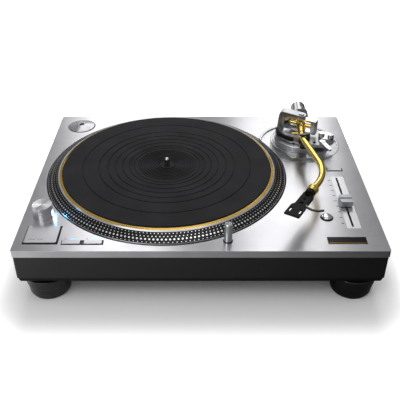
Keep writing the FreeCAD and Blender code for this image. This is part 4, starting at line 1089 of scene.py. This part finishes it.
@dataclass
class Deck:
    """Brushed top plate on its black body, with the printed marks."""

    tick_x_mm: float = 179.2
    tick_first_mm: float = -20.2
    tick_pitch_mm: float = 12.46
    ticks: int = 9
    # Half the length and half the width of a tick.
    tick_half_mm: Tuple[float, float] = (1.7, 0.6)

    def build(self) -> None:
        """Dress the plate and the body, and print the marks."""
        refine("top_plate", HAIRLINE, "deck_metal", 0.45, segments=3)
        refine("cast_chassis", SATIN_BLACK, "body_black", 0.5)
        refine("rubber_base", RUBBER, "base_rubber", 0.4)
        # Black enamelled plate: flat black beside the brushed metal.
        badge = replace(GLOSS_BLACK, name="black_name_plate", coat=0.0, shine=0.12)
        refine("name_plate", badge, "badge_black", 0.3)
        # Brushed front to back: a strip paler than the deck.
        strip = replace(BRIGHT_PLATE, name="satin_fader_plate", colour="#d6d6d8")
        refine("fader_plate", strip, "fader_metal", 0.3)
        self._badge_line()
        self._marks()

    def _badge_line(self) -> None:
        """Thin gold line along the front edge of the badge."""
        line = block("badge_line", (155.2, -160.3, 0.59), (200.2, -159.75, 0.64), 0.02)
        dress(line, GOLD_INK, "chassis", "badge_black")

    def _marks(self) -> None:
        """Ticks beside the pitch fader and the generic words of the controls."""
        x = self.tick_x_mm
        half_x, half_y = self.tick_half_mm
        first = block("tick", (x - half_x, self.tick_first_mm - half_y, -0.02),
                      (x + half_x, self.tick_first_mm + half_y, 0.03), 0.005)
        ticks = [first] + [copy_to(first, "tick", (0, -self.tick_pitch_mm * i, 0))
                           for i in range(1, self.ticks)]
        middle = self.tick_first_mm - self.tick_pitch_mm * (self.ticks // 2)
        ticks.append(block("tick", (x - 4.4, middle - 0.2, -0.02),
                           (x - 1.6, middle + 0.2, 0.02), 0.005))
        ticks += [
            label("on", "ON", 1.5, (-188.6, -87.2, 0.0)),
            label("off", "OFF", 1.5, (-188.0, -91.2, 0.0)),
            label("thirty_three", "33", 1.7, (-164.6, -151.6, 0.0)),
            label("forty_five", "45", 1.7, (-138.4, -151.6, 0.0))]
        marks = join(ticks, "deck_marks")
        dress(marks, BLACK_INK, "chassis", "deck_metal")
        lamps = join([
            block("lamp_33", (-158.6, -152.3, -0.02), (-150.6, -150.9, 0.06), 0.02),
            block("lamp_45", (-132.6, -152.3, -0.02), (-124.6, -150.9, 0.06), 0.02)],
            "speed_lamps")
        dress(lamps, BLUE_LAMP, "chassis", "deck_metal")
        dot = lathe("power_dot", [(0, -0.02), (1.0, -0.02), (1.0, 0.1), (0, 0.25)],
                    (-188.7, -119.6), 20, ring=False)
        # Moulded red lens, unlit: a small dark red point.
        lens = replace(GLOSS_BLACK, name="red_indicator", colour="#7a1512")
        dress(dot, lens, "chassis", "deck_metal")


@dataclass
class Controls:
    """Buttons, knobs, the pop-up light and the pitch fader."""

    knob_mm: Tuple[float, float] = (-201.0, -102.2)
    pop_mm: Tuple[float, float] = (32.9, -154.7)
    reset_mm: Tuple[float, float] = (160.9, -107.3)
    adaptor_mm: Tuple[float, float] = (-190.2, 140.7)
    # Openings of the buttons: middle in x and y, then length and width.
    start_opening_mm: Tuple[float, ...] = (-194.2, -143.4, 41.0, 35.0)
    speed_opening_mm: Tuple[float, ...] = (-143.25, -158.25, 49.1, 7.1)
    range_opening_mm: Tuple[float, ...] = (191.5, 8.75, 21.0, 7.5)
    # Width of the black strips painted as shadow in the gap round a button, in front and at the
    # right; behind and at the left it is half.
    gap_shadow_mm: float = 1.3
    gap_shadow_inside_mm: float = 0.5
    gap_shadow_heights_mm: Tuple[float, float] = (-0.6, 0.06)
    glow_watts: float = 0.01
    glow_colour: str = "#6cbcff"

    def build(self) -> None:
        """Model and dress every control."""
        self._start()
        # Black strips painted as shadow in the gaps round the buttons.
        self._painted_gap_shadow("start_gap_shadow", self.start_opening_mm)
        self._painted_gap_shadow("speed_gap_shadow", self.speed_opening_mm)
        self._painted_gap_shadow("range_gap_shadow", self.range_opening_mm)
        self._speeds()
        self._power()
        self._pop_up()
        self._small_buttons()
        self._fader()
        self._adaptor()

    def _start(self) -> None:
        """Square start button with its words."""
        # Brushed cap: a plain pale square that its dark words stand out from.
        cap = replace(BRIGHT_PLATE, name="satin_start_button")
        refine("start_button", cap, "start_metal", 0.5, segments=3)
        words = label("start_words", "START · STOP", 2.0, (-199.6, -154.6, 1.8))
        dress(words, BLACK_INK, "start", "start_metal")

    def _painted_gap_shadow(self, name: str, opening_mm: Sequence[float]) -> None:
        """Black strips in the gap round a button, almost flush with the deck's top: painted
        shadow, wider in front and at the right, where the gap's shade falls.

        Args:
            name: The strips' name.
            opening_mm: The opening's middle in x and y, its length and its width.
        """
        x, y, length, width = opening_mm
        half_x, half_y = length / 2, width / 2
        inner_x, inner_y = half_x - self.gap_shadow_inside_mm, half_y - self.gap_shadow_inside_mm
        left, right = -half_x - self.gap_shadow_mm / 2, half_x + self.gap_shadow_mm
        front, back = -half_y - self.gap_shadow_mm, half_y + self.gap_shadow_mm / 2
        low, high = self.gap_shadow_heights_mm
        corners = (((left, front), (right, -inner_y)), ((left, inner_y), (right, back)),
                   ((left, front), (-inner_x, back)), ((inner_x, front), (right, back)))
        strips = [block(name, (x + start[0], y + start[1], low),
                        (x + end[0], y + end[1], high), 0.01) for start, end in corners]
        # The black rubber finish here is painted shadow: it stands in for the shade in the gap.
        dress(join(strips, name), RUBBER, "chassis", "body_black")

    def _speeds(self) -> None:
        """The two narrow speed buttons."""
        # Brushed along their length: they take the deck's own streaks.
        cap = replace(BRIGHT_PLATE, name="satin_speed_button", grain=Grain.HAIRLINE_X)
        refine("speed_33_button", cap, "speed_33_metal", 0.35)
        refine("speed_45_button", cap, "speed_45_metal", 0.35)

    def _power(self) -> None:
        """Dished knob over the round lamp housing."""
        # Turned cap: the light on its dished top is drawn out from the middle.
        metal = replace(TURNED, name="turned_power_knob", centre_mm=self.knob_mm)
        knob = lathe("power_knob_cap", [
            (0, -8), (3, -8), (3, 10.6), (12.45, 10.6), (12.7, 10.85), (12.7, 16.45),
            (12.5, 16.9), (12.15, 17), (11.9, 16.9), (11.5, 16.65), (10.7, 16.6),
            (5, 16.3), (1.4, 16.12), (1.2, 15.9), (0, 15.9)], self.knob_mm, 128, ring=False)
        dress(knob, metal, "power", "knob_metal", "power_knob")
        # Turned wall below it, a little glossier, so that the two parts differ.
        wall = replace(metal, name="turned_lamp_housing", roughness=0.26)
        refine("strobe_housing", wall, "lamp_housing", 0.25)
        refine("strobe_window", LAMP_GLASS, "lamp_window", 0.1)
        soft_lamp("strobe_glow", tuple(deck(-187.8, -101.5, 6.0)),
                  tuple(deck(-150.0, -96.0, 0.0)), (0.008, 0.012), self.glow_watts,
                  self.glow_colour)

    def _pop_up(self) -> None:
        """Round pop-up light in its black collar."""
        # Polished tube: it mirrors the deck and the studio.
        tube = replace(POLISHED, name="polished_light_tube")
        refine("pop_up_light", tube, "pop_metal", 0.35, segments=3)
        x, y = self.pop_mm
        lamp = block("pop_lamp", (x - 3.5, y - 1.3, 20.1), (x - 3.3, y + 1.3, 23.3), 0.02)
        # Clear lens, hardly lit: a pale spot on the tube.
        lens = replace(LAMP_GLASS, name="pale_lamp_lens", glow=0.2)
        dress(lamp, lens, "stylus_light", "pop_metal")

    def _small_buttons(self) -> None:
        """Reset dome and pitch range button."""
        dome = lathe("reset_dome", [
            (0, -9), (6.8, -9), (6.8, 1.5), (6.6, 2.05), (6.1, 2.5), (5.0, 2.8),
            (3.4, 3.0), (0, 3.1)], self.reset_mm, 64, ring=False)
        dress(dome, POLISHED, "reset", "reset_metal", "reset_button")
        # Brushed cap, as the start button's.
        cap = replace(BRIGHT_PLATE, name="satin_range_button")
        refine("range_button", cap, "range_metal", 0.35)

    def _fader(self) -> None:
        """Pitch fader's cap."""
        # Moulded and sprayed silver: even grey, softly shaded along its grip.
        cap = replace(CAST_SILVER, name="satin_fader_cap")
        refine("fader_knob", cap, "fader_cap", 0.4, segments=3)

    def _adaptor(self) -> None:
        """Turned cone for records with a large hole."""
        # Turned cone: greyer than the deck, its light drawn out from the hole.
        metal = replace(TURNED, name="turned_adaptor", centre_mm=self.adaptor_mm,
                        colour="#b4b4b7", roughness=0.26)
        cone = lathe("adaptor_cone", [
            (3.7, -6.9), (19, -6.9), (19, -1), (20.35, 0.05), (20.5, 0.3), (20.3, 0.75),
            (19.9, 1.0), (6.4, 3.45), (5.0, 3.75), (4.4, 3.8), (3.9, 3.6), (3.7, 3.2)],
            self.adaptor_mm, 128)
        dress(cone, metal, "adaptor_body", "adaptor_metal", "adaptor")


@dataclass
class ArmBase:
    """Raised base, height ring, carrier and the parts that stand on it."""

    centre_mm: Tuple[float, float] = PIVOT_MM
    # Screws of the grey bar, from the pillar's axis.
    screws_mm: Tuple[Tuple[float, float], ...] = ((18, -30), (-14, -34))
    # Each row of marks round the pillar: how many, how far apart and where it starts.
    ring_marks: int = 24
    ring_mark_degrees: float = 6.0
    ring_start_degrees: float = -80
    ribs: int = 96
    rib_degrees: float = -3.0
    rib_start_degrees: float = -25
    scale_marks: int = 5
    scale_degrees: float = -2.4

    def build(self) -> None:
        """Model and dress every piece round the arm's pillar."""
        # Turned plate: a softer grey than the deck's, with light in rings.
        plate = replace(TURNED, name="turned_arm_base", centre_mm=self.centre_mm,
                        colour="#bfc0c2", roughness=0.26)
        refine("arm_base", plate, "arm_base_metal", 0.35, segments=3)
        self._height_ring()
        refine("height_lock_lever", CAST_SILVER, "lock_lever_metal", 0.35)
        self._serrations()
        refine("arm_body", CAST_SILVER, "arm_body_metal", 0.5, segments=3)
        # Blasted casting, a little darker: it stands apart from the pillar behind it.
        bracket = replace(CAST_SILVER, name="satin_gimbal_bracket", colour="#b2b4b7")
        refine("gimbal_bracket", bracket, "bracket_metal", 0.4, segments=3)
        # Rubber sleeve: a matt black bow under the gold tube.
        sleeve = replace(RUBBER, name="soft_black_cueing_bar")
        refine("lift_bar", sleeve, "lift_rubber", 0.5)
        refine("cue_lever", POLISHED, "cue_chrome", 0.4, segments=3)
        refine("anti_skate_dial", POLISHED, "skate_chrome", 0.4, segments=3)
        refine("arm_rest", GLOSS_BLACK, "rest_black", 0.4)
        # Moulded clip, half glossy: black with a soft edge of light.
        clip = replace(GLOSS_BLACK, name="satin_black_clip", roughness=0.3)
        refine("arm_clamp", clip, "clip_black", 0.4)
        self._scale()
        self._screws()

    def _height_ring(self) -> None:
        """Turned ring with black marks that sets the arm's height."""
        x, y = self.centre_mm
        # Turned and blasted: its wall is even, with only a hint of rings.
        metal = replace(TURNED, name="turned_height_ring", centre_mm=self.centre_mm,
                        roughness=0.38, stretch=0.3)
        ring = lathe("height_ring_turned", [
            (31.2, 4.7), (37.3, 4.7), (37.5, 4.9), (37.5, 11.0), (37.2, 11.6),
            (36.6, 12.2), (36.0, 12.4), (31.4, 12.4), (31.2, 12.2)], self.centre_mm, 160)
        dress(ring, metal, "height_ring_body", "height_ring_metal", "height_ring")
        mark = block("ring_mark", (x - 0.22, y - 37.54, 8.9), (x + 0.22, y - 37.4, 10.9), 0.02)
        marks = repeat_round(mark, self.ring_marks, self.centre_mm, self.ring_mark_degrees)
        turn_about(marks, deck(x, y, 0), self.ring_start_degrees)
        dress(marks, BLACK_INK, "height_ring_body", "height_ring_metal")

    def _serrations(self) -> None:
        """Fine ribs round the edge of the height lock's ring."""
        x, y = self.centre_mm
        rib = block("lock_rib", (x - 0.3, y + 40.35, 4.9), (x + 0.3, y + 40.49, 8.0), 0.05)
        ribs = repeat_round(rib, self.ribs, self.centre_mm, self.rib_degrees)
        turn_about(ribs, deck(x, y, 0), self.rib_start_degrees)
        dress(ribs, CAST_SILVER, "height_lock", "lock_lever_metal")

    def _scale(self) -> None:
        """Height scale: short ticks on the raised base."""
        x, y = self.centre_mm
        tick = block("scale_tick", (x + 41.0, y - 0.12, 4.49), (x + 43.0, y + 0.12, 4.53), 0.005)
        ticks = repeat_round(tick, self.scale_marks, self.centre_mm, self.scale_degrees)
        dress(ticks, BLACK_INK, "chassis", "arm_base_metal")

    def _screws(self) -> None:
        """Socket screws on the grey bar before the anti-skate dial."""
        x, y = self.centre_mm
        for index, (dx, dy) in enumerate(self.screws_mm):
            head = lathe("bar_screw_%d" % index, [
                (0, 16.9), (2.2, 16.9), (2.2, 17.5), (1.9, 17.8), (1.0, 17.8),
                (0.9, 17.2), (0, 17.2)], (x + dx, y + dy), 24, ring=False)
            dress(head, BLACK_ANODISED, "arm_carrier", "arm_body_metal")


@dataclass
class Tonearm:
    """Gold S-shaped tube with its block, weight, collar and headshell."""

    pivot_mm: Point = (*PIVOT_MM, ARM_AXIS_MM)
    socket_mm: Point = (145.21, -86.53, ARM_AXIS_MM)
    rear_degrees: float = 176.8
    head_degrees: float = -31.3
    flutes: int = 60
    dial_marks: int = 16
    # Where the collar's three turned grooves begin, along its axis.
    collar_grooves_mm: Tuple[float, ...] = (4.9, 6.3, 7.7)
    collar_mm: float = 7.3
    collar_groove_mm: float = 0.45

    def build(self) -> None:
        """Model and dress every piece that swings with the arm."""
        # Polished, a little softer than chrome: grey with bright edges.
        ring = replace(POLISHED, name="polished_gimbal_ring", roughness=0.2)
        refine("gimbal_ring", ring, "gimbal_metal", 0.4, segments=3)
        refine("pivot_block", GOLD, "gold_block", 0.5, segments=3)
        refine("arm_tube", GOLD, "gold_tube", 0)
        refine("rear_shaft", POLISHED, "rear_shaft_metal", 0.2)
        self._weight()
        self._dial()
        self._collar()
        refine("headshell", BLACK_ANODISED, "headshell_metal", 0.35, segments=3)
        refine("finger_lift", GLOSS_BLACK, "finger_black", 0.4, segments=3)

    def _weight(self) -> None:
        """Counterweight with shallow turned grooves."""
        # Turned and blasted: one broad highlight along the cylinder.
        metal = replace(CAST_SILVER, name="satin_counterweight", roughness=0.24)
        body = lathe("weight_body", [
            (4.05, 32.4), (10.3, 32.4), (10.6, 32.7), (10.6, 34), (11.0, 34), (11.2, 34.2),
            (11.2, 37.6), (10.9, 37.8), (10.9, 38.6), (11.2, 38.8), (11.2, 54.8),
            (11.0, 55), (10.6, 55), (10.6, 55.7), (10.3, 56), (4.05, 56)],
            (0, 0), 96)
        laid(body, self.pivot_mm, self.rear_degrees)
        smooth(body)
        dress(body, metal, "weight", "weight_metal", "counterweight")

    def _dial(self) -> None:
        """Tracking force dial with a fluted edge and its marks."""
        # As the weight, a little duller, so that the marks can be read.
        metal = replace(CAST_SILVER, name="satin_force_dial", roughness=0.26)
        body = lathe("dial_body", [
            (4.3, 22.5), (12.0, 22.5), (12.3, 22.8), (12.3, 24), (13.2, 24), (13.4, 24.2),
            (13.4, 31.8), (13.2, 32), (4.3, 32)], (0, 0), 96)
        flute = block("dial_flute", (13.3, -0.25, 27.6), (13.5, 0.25, 31.8), 0.05)
        flutes = repeat_round(flute, self.flutes, (0, 0))
        whole = join([body, flutes], "force_dial_turned")
        laid(whole, self.pivot_mm, self.rear_degrees)
        dress(whole, metal, "dial", "dial_metal", "force_dial")
        marks = []
        for index in range(self.dial_marks):
            tick = block("dial_tick", (13.38, -0.12, 24.5), (13.46, 0.12, 26.6), 0.01)
            turn_about(tick, deck(0, 0, 0), index * 360 / self.dial_marks)
            marks.append(tick)
        ticks = join(marks, "dial_ticks")
        laid(ticks, self.pivot_mm, self.rear_degrees)
        dress(ticks, BLACK_INK, "dial", "dial_metal")

    def _collar(self) -> None:
        """Locking collar of the headshell, with three turned grooves."""
        wide = self.collar_mm
        narrow = wide - self.collar_groove_mm
        profile = [(4.45, 2), (6.3, 2), (6.6, 2.3), (6.6, 4), (wide - 0.2, 4), (wide, 4.2)]
        for start in self.collar_grooves_mm:
            profile += [(wide, start), (narrow, start + 0.2), (narrow, start + 0.5),
                        (wide, start + 0.7)]
        profile += [(wide, 9.3), (wide - 0.2, 9.5), (6.6, 9.5), (6.6, 12.2), (6.3, 12.5),
                    (4.45, 12.5)]
        collar = lathe("collar_turned", profile, (0, 0), 72)
        laid(collar, self.socket_mm, self.head_degrees)
        dress(collar, GOLD, "collar", "gold_collar", "lock_collar")


@dataclass
class Underside:
    """Feet, terminals and the parts inside the body."""

    corners: Tuple[str, ...] = ("front_left", "front_right", "rear_left", "rear_right")

    def build(self) -> None:
        """Dress the feet, the rear panel and the hidden parts."""
        for corner in self.corners:
            self._foot(corner)
        refine("terminal_panel", SATIN_BLACK, "panel_black", 0.3)
        refine("mains_inlet", GLOSS_BLACK, "inlet_black", 0.25)
        paint("phono_jacks", replace(GOLD_INK, name="gold_plated_jack"))
        paint("ground_terminal", ZINC)
        paint("base_screws", ZINC)
        paint("bearing_housing", ZINC)
        paint("stator_board", BOARD_GREEN)
        paint("stator_coils", COPPER)
        paint("power_supply", ZINC)
        paint("control_board", BOARD_GREEN)

    def _foot(self, corner: str) -> None:
        """Round damping foot over its rubber pad, on a zinc-plated stud.

        Args:
            corner: Which corner, as in the record's names.
        """
        # Moulded plastic, half glossy: a broad soft highlight.
        housing = replace(GLOSS_BLACK, name="moulded_foot", roughness=0.3)
        refine("foot_" + corner, housing, "foot_black", 0.6, segments=3)
        paint("foot_stud_" + corner, ZINC)


def main() -> None:
    """Build the whole picture."""
    logging.basicConfig(level=logging.INFO, format="%(message)s")
    for part in (Studio(), Deck(), PlatterAssembly(), Controls(), ArmBase(), Tonearm(),
                 Underside()):
        log.info("building %s", type(part).__name__)
        part.build()


if __name__ == "__main__":
    main()
